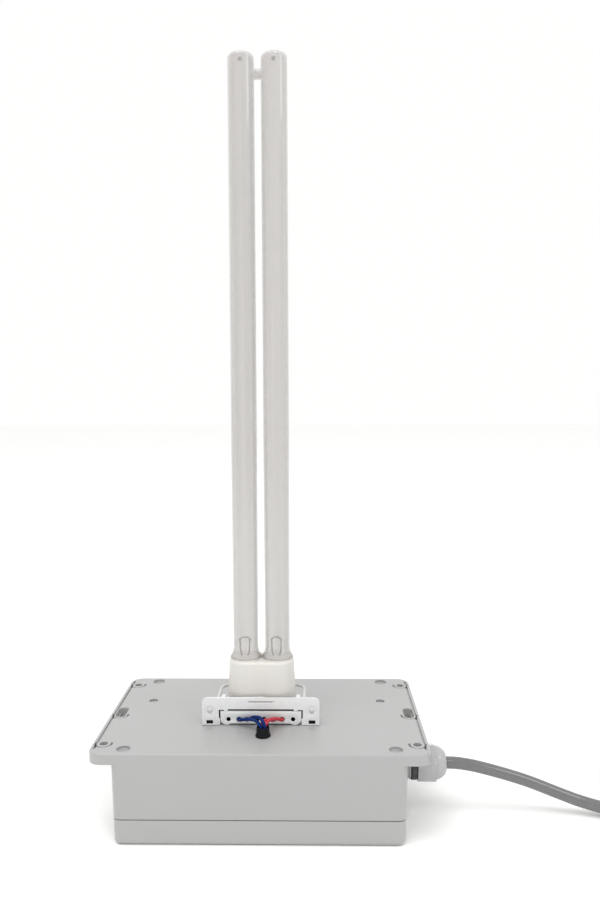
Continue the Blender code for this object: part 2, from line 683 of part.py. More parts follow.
def build_wire_outlet():
    """Rubber sleeve in the top panel and the four lamp wires that run through it."""
    place = upright(*OUTLET)
    low, seat = PANEL_Z - 2.5, BOX_TOP + GAP
    bore_r, neck_r, collar_r = 3.0, 3.5, 4.65
    sleeve = [(bore_r, low), (neck_r, low), (neck_r, seat), (collar_r, seat), (collar_r, seat + 0.6),
              (4.1, seat + 1.5), (3.9, seat + 5.3), (3.75, seat + 5.7), (3.45, seat + 5.7),
              (bore_r, seat + 3.2)]
    piece("wire_grommet", "black_rubber", lambda bm: turned(bm, sleeve, place, closed=True))
    runs = (
        ("lamp_wire_blue_1", "wire_blue", (-1, -1), WIRE_ENTRIES[0],
         [(-1.2, -35.9, 62.3), (-4.2, -31.8, 63.0), (-9.6, -26.0, 61.2)]),
        ("lamp_wire_blue_2", "wire_blue", (1, -1), WIRE_ENTRIES[1],
         [(1.7, -36.6, 62.5), (-0.6, -33.4, 65.0), (-4.6, -28.2, 63.6), (-7.9, -24.2, 60.9)]),
        ("lamp_wire_red_1", "wire_red", (-1, 1), WIRE_ENTRIES[4],
         [(0.4, -33.4, 61.9), (2.0, -30.4, 62.4), (4.7, -25.6, 60.6)]),
        ("lamp_wire_red_2", "wire_red", (1, 1), WIRE_ENTRIES[5],
         [(3.0, -33.3, 62.2), (5.4, -30.0, 62.9), (9.4, -25.0, 61.0)]),
    )
    for number, (name, finish, corner, entry, arch) in enumerate(runs):
        terminal_x = LAMP_TERMINAL_X[number]
        hole = (OUTLET[0] + corner[0] * WIRE_PITCH, OUTLET[1] + corner[1] * WIRE_PITCH)
        level = 42.0 - 3.0 * number
        lane = -27.0 + 2.5 * number
        inner = [(terminal_x, TERMINAL_FACE_Y + WIRE_TUCK, TERMINAL_Z),
                 (terminal_x, TERMINAL_FACE_Y, TERMINAL_Z),
                 (terminal_x, -1.5, TERMINAL_Z - 0.3), (terminal_x + 7, lane + 8, level),
                 (-42, lane - 3, level - 1), (-18, hole[1] - 1 + corner[1], level - 3),
                 (hole[0] - 5, hole[1], level + 1 + 0.5 * corner[0]), (*hole, 50.0), (*hole, BOX_TOP + 4.0),
                 (*hole, BOX_TOP + 5.4)]
        entry_x = LAMP_GROUP_X + entry
        outer = arch + [(entry_x, BRACKET_FRONT - 0.6, FRONT_HOLE_Z + 0.1), (entry_x, -12.0, FRONT_HOLE_Z)]
        wire(name, finish, WIRE_R, inner + outer, 5.0)


# ---------------------------------------------------------------- lamp holder, bracket and bail

def build_bracket():
    """Sheet bracket: an upright plate with a window for the holder, on a foot behind it."""
    low = BOX_TOP + GAP
    back = BRACKET_FRONT + SHEET
    outline = [(-BRACKET_X, low), (BRACKET_X, low)]
    outline += arc((BRACKET_X - 3.5, BRACKET_TOP - 3.5), 3.5, 0, 90, 5)
    outline += arc((3.5 - BRACKET_X, BRACKET_TOP - 3.5), 3.5, 90, 180, 5)

    half = HOLDER_X + GAP
    half_window = [(half, low - 1), (half, 59.4), (26.0, 59.4), (26.0, 64.9), (23.0, 64.9), (23.0, 64.3),
                   (20.7, 64.3), (20.7, 65.0)]

    def window(bm):
        plate(bm, half_window + [(-x, z) for x, z in reversed(half_window)], (BRACKET_FRONT - 1, -18.4))
        slab(bm, (-7.5, 7.5), (BRACKET_FRONT - 1, back + 1), (69.6, 70.3))
        for side in (-1, 1):
            slab(bm, sorted((side * 29.7, side * 33.8)), (BRACKET_FRONT - 1, back + 0.6), (56.2, 58.2))
            rod(bm, 1.35, (BRACKET_FRONT - 1, back + 1), along_y(side * 31.6, 64.4), 10)
            rod(bm, 1.7, (low - 1, low + 2), upright(side * 31.5, 4.0), 10)

    piece("holder_bracket", "white_enamel", lambda bm: plate(bm, outline, (BRACKET_FRONT, back)),
          add=lambda bm: slab(bm, (-BRACKET_X, BRACKET_X), (back - 0.6, 15.0), (low, low + SHEET), 0.4, 1),
          cut_after=window)
    for side, word in ((-1, "left"), (1, "right")):
        rivet = [(0, BRACKET_FRONT - 0.5), (1.0, BRACKET_FRONT - 0.45), (1.6, BRACKET_FRONT - GAP),
                 (1.05, BRACKET_FRONT - GAP), (1.05, back + GAP), (1.7, back + GAP), (1.7, back + 0.9),
                 (0, back + 0.9)]
        place = along_y(side * 31.6, 64.4)
        piece("bracket_rivet_" + word, "nickel", lambda bm, place=place: turned(bm, rivet, place, 10))
        head = low + SHEET + GAP
        screw = [(0, PANEL_Z + GAP), (1.2, PANEL_Z + GAP), (1.2, head), (2.8, head), (2.8, head + 1.0),
                 (2.0, head + 1.9), (0, head + 2.0)]
        place = upright(side * 31.5, 4.0)
        piece("bracket_screw_" + word, "steel", lambda bm, place=place: turned(bm, screw, place, 10),
              cut=lambda bm, place=place: draw_bar(bm, place, 45, 1.7, (head + 1.1, head + 3)))


def draw_holder_front(bm):
    """Front face with a round lug at each lower corner."""
    lug, lug_z, lug_r = 21.0, 59.3, 4.0
    low = 56.2
    drop = math.degrees(math.asin((lug_z - low) / lug_r))
    outline = [(HOLDER_X, 64.0), (-HOLDER_X, 64.0)]
    outline += arc((-lug, lug_z), lug_r, 180, 360 - drop, 8)
    outline += arc((lug, lug_z), lug_r, 180 + drop, 360, 8)
    plate(bm, outline, (BRACKET_FRONT, -18.7))


def draw_holder_block(bm):
    half_x = HOLDER_X - 0.6
    low = BOX_TOP + 2 * GAP + SHEET
    slab(bm, (-half_x, half_x), (-19.2, HOLDER_BACK), (low, HOLDER_TOP), 2.0)


def draw_holder_posts(bm):
    for side in (-1, 1):
        x_span = sorted((side * 22.05, side * 24.35))
        slab(bm, x_span, (-19.3, -14.6), (HOLDER_TOP - 1.5, 72.6), 0.5, 2)


def draw_holder_openings(bm):
    pocket = [(0, 57.6), (2.2, 57.6), (2.2, 61.9), (1.7, 61.9), (1.7, HOLDER_TOP + 1), (0, HOLDER_TOP + 1)]
    for x in PIN_X:
        turned(bm, pocket, upright(x, LAMP_Y), 10)
    for x in WIRE_ENTRIES:
        rod(bm, 1.5, (BRACKET_FRONT - 1, -10.6), along_y(x, FRONT_HOLE_Z), 8)
    for side in (-1, 1):
        rod(bm, 1.35, (BRACKET_FRONT - 1, -16.5), along_y(side * 20.0, FRONT_HOLE_Z), 8)
        rod(bm, 1.4, (side * 23.2 - 2, side * 23.2 + 2), along_x(BAIL_PIVOT_Y, BAIL_PIVOT_Z), 8)


def build_holder():
    holder = piece("holder_body", "white_plastic", draw_holder_block)
    boolean(holder, "holder_front", "UNION", draw_holder_front)
    boolean(holder, "holder_posts", "UNION", draw_holder_posts)
    boolean(holder, "holder_openings", "DIFFERENCE", draw_holder_openings)
    sleeve = [(1.3, 57.9), (1.85, 57.9), (1.85, 61.6), (1.3, 61.6)]
    for number, x in enumerate(PIN_X, start=1):
        place = upright(x, LAMP_Y)
        piece(f"holder_contact_{number}", "brass",
              lambda bm, place=place: turned(bm, sleeve, place, 10, closed=True))


def build_bail():
    """Wire loop round the back of the lamp cap, hooked into the holder's two posts."""
    hook_r, corner_r = 1.8, 7.5
    side = [(22.6, BAIL_PIVOT_Y), (BAIL_HALF_X - hook_r, BAIL_PIVOT_Y)]
    side += arc((BAIL_HALF_X - hook_r, BAIL_PIVOT_Y + hook_r), hook_r, -60, 0, 2)
    side += [(BAIL_HALF_X, -10.0), (BAIL_HALF_X, -4.0)]
    side += arc((BAIL_HALF_X - corner_r, BAIL_BACK_Y - corner_r), corner_r, 0, 90, 3)
    side += [(10.0, BAIL_BACK_Y), (3.5, BAIL_BACK_Y)]
    fall = BAIL_DROP / (BAIL_BACK_Y - BAIL_PIVOT_Y)
    route = [(x, y, BAIL_PIVOT_Z - fall * (y - BAIL_PIVOT_Y))
             for x, y in side + [(-x, y) for x, y in reversed(side)]]
    bail = wire("retaining_bail", "white_enamel", BAIL_R, route, 6.0)
    parent_to(pivot("bail_axis", (0, BAIL_PIVOT_Y, BAIL_PIVOT_Z)), bail)


# ---------------------------------------------------------------- lamp

def cap_loop(z, inset=0.0):
    """Stadium outline of the lamp cap, a little narrower towards its top."""
    rise = (z - CAP_LOW) / (CAP_TOP - CAP_LOW)
    half_x = CAP_HALF_X - 1.25 * rise - inset
    half_y = CAP_HALF_Y - 0.3 * rise - inset
    return at_height(rounded_loop(half_x, half_y, half_y - 0.1, 5, (0, LAMP_Y)), z)


def draw_tube_pair(bm, radius, low, top):
    """Two domed tubes side by side."""
    thin = radius - TUBE_R
    profile = [(0, low), (radius, low), (radius, CAP_TOP + 0.3)]
    profile += [(thin + r, CAP_TOP + rise) for r, rise in FLARE]
    profile += [(radius, top - 5.2), (radius - 0.5, top - 3.3), (radius - 1.7, top - 1.7),
                (radius - 3.8, top - 0.6), (0, top)]
    for side in (-1, 1):
        turned(bm, profile, upright(side * TUBE_X, LAMP_Y), 20)


def build_lamp():
    axis = pivot("lamp_axis", (0, LAMP_Y, CAP_LOW))
    shell = [cap_loop(CAP_LOW, 0.6), cap_loop(CAP_LOW + 0.8), cap_loop(CAP_TOP - 1.6),
             cap_loop(CAP_TOP - 0.5, 0.5), cap_loop(CAP_TOP, 1.6)]
    cap = piece("lamp_cap", "cap_plastic", lambda bm: loft(bm, shell), cut=draw_cap_openings)
    glass = piece("lamp_glass", "lamp_glass",
                  lambda bm: draw_tube_pair(bm, TUBE_R, SOCKET_Z + GAP, LAMP_TIP))
    boolean(glass, "glass_bridge", "UNION",
            lambda bm: rod(bm, 3.0, (-3.3, 3.3), along_x(LAMP_Y, BRIDGE_Z), 14))
    hollow = boolean(glass, "glass_hollow", "DIFFERENCE",
                     lambda bm: draw_tube_pair(bm, TUBE_R - GLASS_T, SOCKET_Z - 1, LAMP_TIP - GLASS_T))
    boolean(hollow, "glass_bridge_bore", "UNION",
            lambda bm: rod(bm, 2.1, (-7, 7), along_x(LAMP_Y, BRIDGE_Z), 10))
    parent_to(axis, cap, glass)
    stem = [(0, 80.5), (6.4, 80.5), (6.4, 82.0), (3.4, 85.5), (2.6, 88.0), (2.6, 89.6), (1.6, 90.3),
            (0, 90.3)]
    lead = [(-2.1, 90.6), (-2.15, 93.0), (-2.6, 97.5), (-3.4, 102.0), (-4.1, 104.9), (-3.6, 106.6),
            (-1.9, 107.8)]
    lead += [(0, 108.1)] + [(-x, z) for x, z in reversed(lead)]
    for side, word in ((-1, "left"), (1, "right")):
        place = upright(side * TUBE_X, LAMP_Y)
        press = piece("lamp_stem_" + word, "lamp_glass", lambda bm, place=place: turned(bm, stem, place, 12))
        coil = wire("electrode_" + word, "nickel", ELECTRODE_R,
                    [(side * TUBE_X + x, LAMP_Y, z) for x, z in lead], 4.0)
        parent_to(axis, press, coil)
    for number, x in enumerate(PIN_X, start=1):
        profile = [(0, 58.0), (0.7, 58.0), (PIN_R, 58.8), (PIN_R, 70.5), (0, 70.5)]
        pin = piece(f"lamp_pin_{number}", "brass",
                    lambda bm, x=x: turned(bm, profile, upright(x, LAMP_Y), 8))
        parent_to(axis, pin)


def draw_cap_openings(bm):
    for side in (-1, 1):
        rod(bm, TUBE_R + GAP, (SOCKET_Z, CAP_TOP + 1), upright(side * TUBE_X, LAMP_Y), 20)
    for x in PIN_X:
        rod(bm, PIN_R + GAP, (CAP_LOW - 1, 71.0), upright(x, LAMP_Y), 8)


# ---------------------------------------------------------------- gland, cord and plug

def build_gland():
    place = along_x(GLAND_Y, GLAND_Z)
    stem_r, bore_r, neck_r = 7.6, 4.4, 8.1
    collar = (85.8, 90.6)
    body = [(bore_r, 76.5), (stem_r, 76.5), (stem_r, collar[0]), (9.8, collar[0])]
    for groove in (87.1, 88.3, 89.5):
        body += [(9.8, groove - 0.4), (9.4, groove), (9.8, groove + 0.4)]
    body += [(9.8, collar[1]), (neck_r, collar[1]), (neck_r, 100.9), (bore_r, 100.9)]
    piece("gland_body", "gland_grey", lambda bm: turned(bm, body, place, closed=True))
    clear_r = neck_r + GAP
    ring_profile = [(clear_r, 90.9), (10.0, 90.9), (10.2, 91.8), (10.2, 93.6), (10.0, 94.5), (clear_r, 94.5)]
    piece("gland_seal_ring", "black_rubber", lambda bm: turned(bm, ring_profile, place, closed=True))
    hollow = [(0, 93), (clear_r, 93), (clear_r, 105.4), (6.2, 109.4), (4.8, 111.6), (4.8, 114), (0, 114)]
    nut = piece("gland_nut", "gland_grey", lambda bm: draw_hexagon(bm, 10.4, (94.8, 106.1)))
    dome = [(0, 104.9), (10.0, 104.9), (10.0, 106.6), (9.3, 109.0), (7.7, 111.4), (6.2, 112.6),
            (5.6, GLAND_MOUTH), (0, GLAND_MOUTH)]
    boolean(nut, "gland_dome", "UNION", lambda bm: turned(bm, dome, place))
    boolean(nut, "gland_hollow", "DIFFERENCE", lambda bm: turned(bm, hollow, place))
    parent_to(pivot("gland_axis", (94.8, GLAND_Y, GLAND_Z)), nut)
    insert = [(3.95, 101.2), (7.6, 101.2), (7.6, 105.0), (5.8, 109.2), (4.5, 111.2), (4.5, 112.4),
              (3.95, 112.4)]
    piece("gland_insert", "black_rubber", lambda bm: turned(bm, insert, place, closed=True))
    piece("gland_locknut", "gland_grey", lambda bm: draw_hexagon(bm, 10.5, (77.4, 82.0)),
          cut=lambda bm: rod(bm, 7.9, (76, 84), place, 16))


def draw_hexagon(bm, half_flats, x_span):
    """Hexagonal prism along the gland's axis."""
    reach = half_flats / math.cos(math.radians(30))
    place = along_x(GLAND_Y, GLAND_Z)
    loop = arc((0, 0), reach, 12, 312, 5)
    loft(bm, [[place @ Vector((x, y, z)) for x, y in loop] for z in x_span])


def build_cord():
    """Power cord: down from the gland to the floor, then into a coil that ends in the plug."""
    wire("power_cord", "cord_grey", CORD_R, [
        (GLAND_MOUTH + GAP, GLAND_Y, GLAND_Z - 0.1), (120, -22, 32.1), (129, -22, 30.7), (138, -22, 28.5),
        (146, -22, 26.3), (154, -22, 23.9), (162, -22, 21.3), (170, -22, 18.3), (178, -22.1, 15.1),
        (186, -22.3, 12), (194, -22.9, 9.2), (203, -24.2, 6.9), (213, -26.4, 5.2), (224, -29.7, 4.5),
        (236, -33.9, 4.3), (241, -35.6, 4.4)], 16.0, 2)
    width = 2 * CORD_R * COIL_TURNS_ACROSS
    height = 2 * CORD_R * COIL_LAYERS
    inner, outer = COIL_MEAN_R - width / 2, COIL_MEAN_R + width / 2
    low, high = COIL_LOW, COIL_LOW + height
    edge = 2.2
    section = [(inner, low + edge), (inner + edge, low), (outer - edge, low), (outer, low + edge),
               (outer, high - edge), (outer - edge, high), (inner + edge, high), (inner, high - edge)]
    piece("cord_coil", "cord_grey", lambda bm: turned(bm, section, upright(*COIL_CENTRE), 28, closed=True))


def plug_place():
    """The plug lies on its shoulder and on the tip of its strain relief."""
    tilt = math.atan2(PLUG_R - PLUG_TIP_R, PLUG_SHOULDER)
    tip_z = PLUG_TIP_R / math.cos(tilt) + 0.1
    return Matrix.Translation((PLUG_TIP_X, COIL_LANE_Y, tip_z)) @ Matrix.Rotation(math.pi / 2 - tilt, 4, "Y")


def build_plug():
    place = plug_place()
    profile = [(0, 0), (PLUG_TIP_R - 0.6, 0)]
    for step in range(3):
        s = 2.5 + 8.4 * step
        r = PLUG_TIP_R + 0.8 * step
        profile += [(r, s), (r, s + 5.0), (r - 0.8, s + 5.4), (r - 0.8, s + 7.4)]
    profile += [(9.5, 28.6), (12.0, 31.5), (13.4, 38.0), (15.6, 43.0), (PLUG_R, PLUG_SHOULDER),
                (PLUG_R, PLUG_LENGTH - 1.0), (PLUG_R - 1.0, PLUG_LENGTH), (0, PLUG_LENGTH)]

    def recesses(bm):
        for side in (-1, 1):
            shift = place @ Matrix.Translation((0, side * PLUG_PIN_PITCH, 0))
            rod(bm, PLUG_PIN_R + GAP, (PLUG_LENGTH - 8, PLUG_LENGTH + 1), shift, 10)
            earth = place @ Matrix.Translation((side * (PLUG_R - 0.4), 0, 0))
            loop = [(2.6, 3.2), (-2.6, 3.2), (-2.6, -3.2), (2.6, -3.2)]
            span = (PLUG_LENGTH - 12, PLUG_LENGTH + 1)
            loft(bm, [[earth @ Vector((x, y, z)) for x, y in loop] for z in span])

    piece("plug_body", "black_rubber", lambda bm: turned(bm, profile, place), cut=recesses)
    tip = PLUG_LENGTH + PLUG_PIN_LENGTH
    root = PLUG_LENGTH - 7.5
    pin = [(0, root), (PLUG_PIN_R, root), (PLUG_PIN_R, tip - 1.2), (PLUG_PIN_R - 0.9, tip), (0, tip)]
    for number, side in enumerate((-1, 1), start=1):
        shift = place @ Matrix.Translation((0, side * PLUG_PIN_PITCH, 0))
        piece(f"plug_pin_{number}", "nickel", lambda bm, shift=shift: turned(bm, pin, shift, 10))


def build_all():
    clear_scene()
    build_box()
    build_lid()
    build_ballast()
    build_terminal_block()
    build_inner_wiring()
    build_wire_outlet()
    for build in (build_bracket, build_holder, build_bail, build_lamp):
        on_lamp_line(build)
    build_gland()
    build_cord()
    build_plug()


build_all()
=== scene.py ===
import json
import math

import bmesh
import bpy
from mathutils import Matrix, Vector

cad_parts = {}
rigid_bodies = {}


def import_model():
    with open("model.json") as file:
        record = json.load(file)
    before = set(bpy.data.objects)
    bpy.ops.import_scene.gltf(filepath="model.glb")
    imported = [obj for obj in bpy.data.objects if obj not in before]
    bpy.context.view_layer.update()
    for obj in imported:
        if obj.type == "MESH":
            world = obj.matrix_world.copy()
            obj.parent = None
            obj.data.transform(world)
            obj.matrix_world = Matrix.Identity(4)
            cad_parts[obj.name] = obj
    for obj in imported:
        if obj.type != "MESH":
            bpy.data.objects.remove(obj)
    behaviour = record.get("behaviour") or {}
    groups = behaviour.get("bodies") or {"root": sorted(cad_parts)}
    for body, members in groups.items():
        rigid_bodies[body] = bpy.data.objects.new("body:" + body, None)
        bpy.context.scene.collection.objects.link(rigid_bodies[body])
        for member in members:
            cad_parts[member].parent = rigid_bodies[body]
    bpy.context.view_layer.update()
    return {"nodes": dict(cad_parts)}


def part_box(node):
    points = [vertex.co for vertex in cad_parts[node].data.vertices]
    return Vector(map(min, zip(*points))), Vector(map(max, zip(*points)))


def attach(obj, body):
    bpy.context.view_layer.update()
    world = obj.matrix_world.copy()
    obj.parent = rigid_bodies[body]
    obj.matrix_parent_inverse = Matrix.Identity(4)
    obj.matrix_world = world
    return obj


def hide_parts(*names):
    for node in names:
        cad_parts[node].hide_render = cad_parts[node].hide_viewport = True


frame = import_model()

# Twin-tube UV-C lamp unit. Sizes are in millimetres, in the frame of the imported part:
# +X towards the cable gland, -Y to the front, +Z up, z = 0 under the lid.
MM = 0.001
GAP = 0.3


def mm_box(node):
    """A CAD node's lowest and highest corner, in millimetres."""
    low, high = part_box(node)
    return low / MM, high / MM


BOX_LOW, BOX_HIGH = mm_box("box_body")
CAP_LOW, CAP_HIGH = mm_box("lamp_cap")
GLASS_LOW, GLASS_HIGH = mm_box("lamp_glass")
PLATE_LOW, PLATE_HIGH = mm_box("holder_bracket")
HOLDER_LOW, HOLDER_HIGH = mm_box("holder_body")

TOP = BOX_HIGH.z                     # top of the box
LID_TOP = mm_box("box_lid")[1].z
FLANGE_T = 6.5
FLANGE_Z = TOP - FLANGE_T
SEAM_Z = BOX_LOW.z                   # lower rim of the body
HALF_X = 85.5                        # half the width of the walls, without the ears
HALF_Y = BOX_HIGH.y
DRAFT = 0.9                          # how far the walls lean in, from the flange to z = 0
WALL = 2.6
PANEL_Z = TOP - 3.0                  # underside of the top panel
CORNER_R = 4.5
HOLLOW_R = 6.0
POST = (79.0, 53.4)                  # x and y of the lid screws, on both sides of the middle
POST_R = 4.8
EAR_HOLE = (92.2, 46.7)
KEYHOLE = (92.3, -1.0)
OUTLET = (1.0, -35.7)
BALLAST_SCREW = (75.9, 18.5)
LAMP_Y = (CAP_LOW.y + CAP_HIGH.y) / 2
LAMP_GROUP_X = (CAP_LOW.x + CAP_HIGH.x) / 2  # centre line of the bracket, holder, bail and lamp
CAP_HALF_X = (CAP_HIGH.x - CAP_LOW.x) / 2
PLATE_HALF_X = (PLATE_HIGH.x - PLATE_LOW.x) / 2
HOLDER_HALF_X = (HOLDER_HIGH.x - HOLDER_LOW.x) / 2
FOOT_SCREW = (31.5, 4.0)
RIVET = (31.6, 64.4)                 # x and z, on both sides of the lamp's centre line
CROSS_REACH = 1.7                    # half the length of a screw's cross recess
TUBE_R = 8.0
TUBE_X = 10.0
GLASS_T = 0.8
TIP = GLASS_HIGH.z
BRIDGE_Z = TIP - 12.6
FRONT = PLATE_LOW.y                  # front face of the bracket
SHEET = 1.1
FRONT_HOLE_Z = 59.0                  # height of the holes in the holder's front
SIDE_HOLE_X = 20.0                   # the two front holes beside the wire entries
PINS_X = (-16.5, -5.5, 5.5, 16.5)
WIRE_ENTRIES = (-13.6, -8.8, -2.2, 2.0, 8.3, 13.3)
WIRE_R = 1.05
BAIL_R = 1.05
BAIL_PIVOT = (-17.0, 70.7)           # y and z
GLAND_Y, GLAND_Z = -22.0, 32.5
GLAND_MOUTH = 112.8
GLAND_HOLE_R = 7.9
CORD_R = 3.65
PITCH = 2 * CORD_R + 0.05            # distance between neighbouring turns of the coil
PLUG_PIN_Y = 9.5
COIL_LOW, COIL_HIGH = mm_box("cord_coil")
COIL_X = (COIL_LOW.x + COIL_HIGH.x) / 2
COIL_Y = (COIL_LOW.y + COIL_HIGH.y) / 2
COIL_R = (COIL_HIGH.x - COIL_X) - 1.5 * PITCH
COIL_Z = COIL_LOW.z + CORD_R
COIL_LANE_Y = COIL_Y - COIL_R - PITCH


# ---------------------------------------------------------------- camera, stage and lights

def aim(yaw, pitch, roll):
    """Rotation of a camera that looks along +Y, turned left by yaw, up by pitch and rolled, in radians."""
    forward = Vector((-math.sin(yaw) * math.cos(pitch), math.cos(yaw) * math.cos(pitch), math.sin(pitch)))
    right = Vector((math.cos(yaw), math.sin(yaw), 0))
    up = right.cross(forward)
    side = right * math.cos(roll) + up * math.sin(roll)
    top = up * math.cos(roll) - right * math.sin(roll)
    return Matrix((side, top, -forward)).transposed()


def make_camera():
    data = bpy.data.cameras.new("camera")
    data.sensor_fit = "VERTICAL"
    data.sensor_height = 36.0
    data.lens = 31.0
    data.clip_start = 0.01
    camera = bpy.data.objects.new("camera", data)
    place = Vector((31.7, -492.55, 260.1)) * MM
    turn = aim(yaw=0.0171, pitch=-0.0793, roll=-0.0038)
    camera.matrix_world = Matrix.Translation(place) @ turn.to_4x4()
    bpy.context.scene.collection.objects.link(camera)
    bpy.context.scene.camera = camera


def make_light(name, location, target, size, power, colour):
    data = bpy.data.lights.new(name, "AREA")
    data.shape = "RECTANGLE"
    data.size, data.size_y = size
    data.energy = power
    data.color = colour
    light = bpy.data.objects.new(name, data)
    light.location = location
    light.rotation_euler = (Vector(target) - Vector(location)).to_track_quat("-Z", "Y").to_euler()
    bpy.context.scene.collection.objects.link(light)


def make_stage():
    """Pale floor and an even white studio."""
    bm = bmesh.new()
    bmesh.ops.create_grid(bm, x_segments=1, y_segments=1, size=6.0)
    mesh = bpy.data.meshes.new("floor")
    bm.to_mesh(mesh)
    bm.free()
    floor = link(bpy.data.objects.new("floor", mesh))
    floor.data.materials.append(plain("floor_paint", (0.975, 0.975, 0.97), 0.7))
    world = bpy.data.worlds.new("studio")
    world.use_nodes = True
    background = world.node_tree.nodes["Background"]
    background.inputs["Color"].default_value = (1.0, 1.0, 0.995, 1)
    background.inputs["Strength"].default_value = 1.0
    bpy.context.scene.world = world
    bpy.context.scene.view_settings.view_transform = "Standard"
    make_light("key", (-0.5, -0.6, 2.2), (0, 0, 0.1), (1.1, 1.1), 17.0, (1.0, 0.99, 0.97))
    make_light("fill", (1.2, -0.5, 1.2), (0, 0, 0.1), (0.5, 0.5), 2.5, (0.96, 0.985, 1.0))
    make_light("glint", (0.35, -0.9, 1.5), (0.05, 0, 0.1), (0.12, 0.12), 1.6, (1.0, 0.99, 0.98))


# ---------------------------------------------------------------- shapes in millimetres

def link(item):
    bpy.context.scene.collection.objects.link(item)
    return item


def rounded_loop(half_x, half_y, radius, steps=8, centre=(0.0, 0.0)):
    """Points of a rounded rectangle, anticlockwise."""
    points = []
    for corner, (side_x, side_y) in enumerate(((1, 1), (-1, 1), (-1, -1), (1, -1))):
        for step in range(steps + 1):
            angle = math.radians(90 * (corner + step / steps))
            x = side_x * (half_x - radius) + radius * math.cos(angle)
            y = side_y * (half_y - radius) + radius * math.sin(angle)
            points.append((centre[0] + x, centre[1] + y))
    return points


def at_height(loop, z):
    return [(x, y, z) for x, y in loop]


def loft(bm, loops, ring=False):
    """Skin a stack of loops of equal length. It is closed at both ends, or end to end as a ring."""
    rings = [[bm.verts.new(point) for point in loop] for loop in loops]
    pairs = list(zip(rings, rings[1:]))
    if ring:
        pairs.append((rings[-1], rings[0]))
    count = len(rings[0])
    for low, high in pairs:
        for i in range(count):
            j = (i + 1) % count
            bm.faces.new((low[i], low[j], high[j], high[i]))
    if not ring:
        bm.faces.new(list(reversed(rings[0])))
        bm.faces.new(rings[-1])


def slab(bm, x_span, y_span, z_span, radius=0.0):
    """An upright block, with its four upright edges rounded by radius."""
    half_x = (x_span[1] - x_span[0]) / 2
    half_y = (y_span[1] - y_span[0]) / 2
    centre = ((x_span[0] + x_span[1]) / 2, (y_span[0] + y_span[1]) / 2)
    if radius > 0:
        loop = rounded_loop(half_x, half_y, radius, 5, centre)
    else:
        loop = [(centre[0] + sx * half_x, centre[1] + sy * half_y)
                for sx, sy in ((1, 1), (-1, 1), (-1, -1), (1, -1))]
    loft(bm, [at_height(loop, z) for z in z_span])


def plate(bm, outline, y_span):
    """An outline of (x, z) points, extruded along Y."""
    loft(bm, [[(x, y, z) for x, z in outline] for y in y_span])


def turned(bm, profile, place, segments=48, closed=False):
    """Turn a profile of (radius, height) about local Z. A closed profile makes a ring."""
    rings = []
    for radius, height in profile:
        if radius == 0:
            rings.append([bm.verts.new(place @ Vector((0, 0, height)))])
            continue
        turns = [2 * math.pi * (i + 0.5) / segments for i in range(segments)]
        rings.append([bm.verts.new(place @ Vector((radius * math.cos(a), radius * math.sin(a), height)))
                      for a in turns])
    pairs = list(zip(rings, rings[1:]))
    if closed:
        pairs.append((rings[-1], rings[0]))
    for low, high in pairs:
        for i in range(segments):
            j = (i + 1) % segments
            corners = (low[i % len(low)], low[j % len(low)], high[j % len(high)], high[i % len(high)])
            bm.faces.new(list(dict.fromkeys(corners)))


def rod(bm, radius, span, place, segments=32):
    turned(bm, [(0, span[0]), (radius, span[0]), (radius, span[1]), (0, span[1])], place, segments)


def upright(x, y):
    return Matrix.Translation((x, y, 0))


def along_x(y, z):
    return Matrix.Translation((0, y, z)) @ Matrix.Rotation(math.radians(90), 4, "Y")


def along_y(x, z):
    return Matrix.Translation((x, 0, z)) @ Matrix.Rotation(math.radians(-90), 4, "X")


def arc(centre, radius, start, end, steps):
    turns = [math.radians(start + (end - start) * i / steps) for i in range(steps + 1)]
    return [(centre[0] + radius * math.cos(a), centre[1] + radius * math.sin(a)) for a in turns]


def smooth_route(points, spacing):
    """Points about one spacing apart on a smooth curve through the route's own points."""
    knots = [Vector(p) for p in points]
    knots = [2 * knots[0] - knots[1]] + knots + [2 * knots[-1] - knots[-2]]
    fine = []
    for i in range(1, len(knots) - 2):
        a, b, c, d = knots[i - 1:i + 3]
        steps = max(1, round((c - b).length / spacing))
        for step in range(steps):
            t = step / steps
            fine.append(0.5 * (2 * b + (c - a) * t + (2 * a - 5 * b + 4 * c - d) * t ** 2
                               + (3 * b - a - 3 * c + d) * t ** 3))
    fine.append(knots[-2])
    return fine


# ---------------------------------------------------------------- pieces

def mesh_of(name, draw, angle=34):
    """Mesh in metres from a drawing function, faces out, smooth but for its sharp edges."""
    bm = bmesh.new()
    draw(bm)
    bmesh.ops.recalc_face_normals(bm, faces=bm.faces)
    bmesh.ops.scale(bm, vec=(MM, MM, MM), verts=bm.verts)
    mesh = bpy.data.meshes.new(name)
    bm.to_mesh(mesh)
    bm.free()
    mesh.shade_smooth()
    mesh.set_sharp_from_angle(angle=math.radians(angle))
    return mesh


def bake_modifiers(item, angle):
    """Replace an object's mesh by its evaluated mesh."""
    graph = bpy.context.evaluated_depsgraph_get()
    mesh = bpy.data.meshes.new_from_object(item.evaluated_get(graph))
    item.modifiers.clear()
    item.data = mesh
    mesh.shade_smooth()
    mesh.set_sharp_from_angle(angle=math.radians(angle))


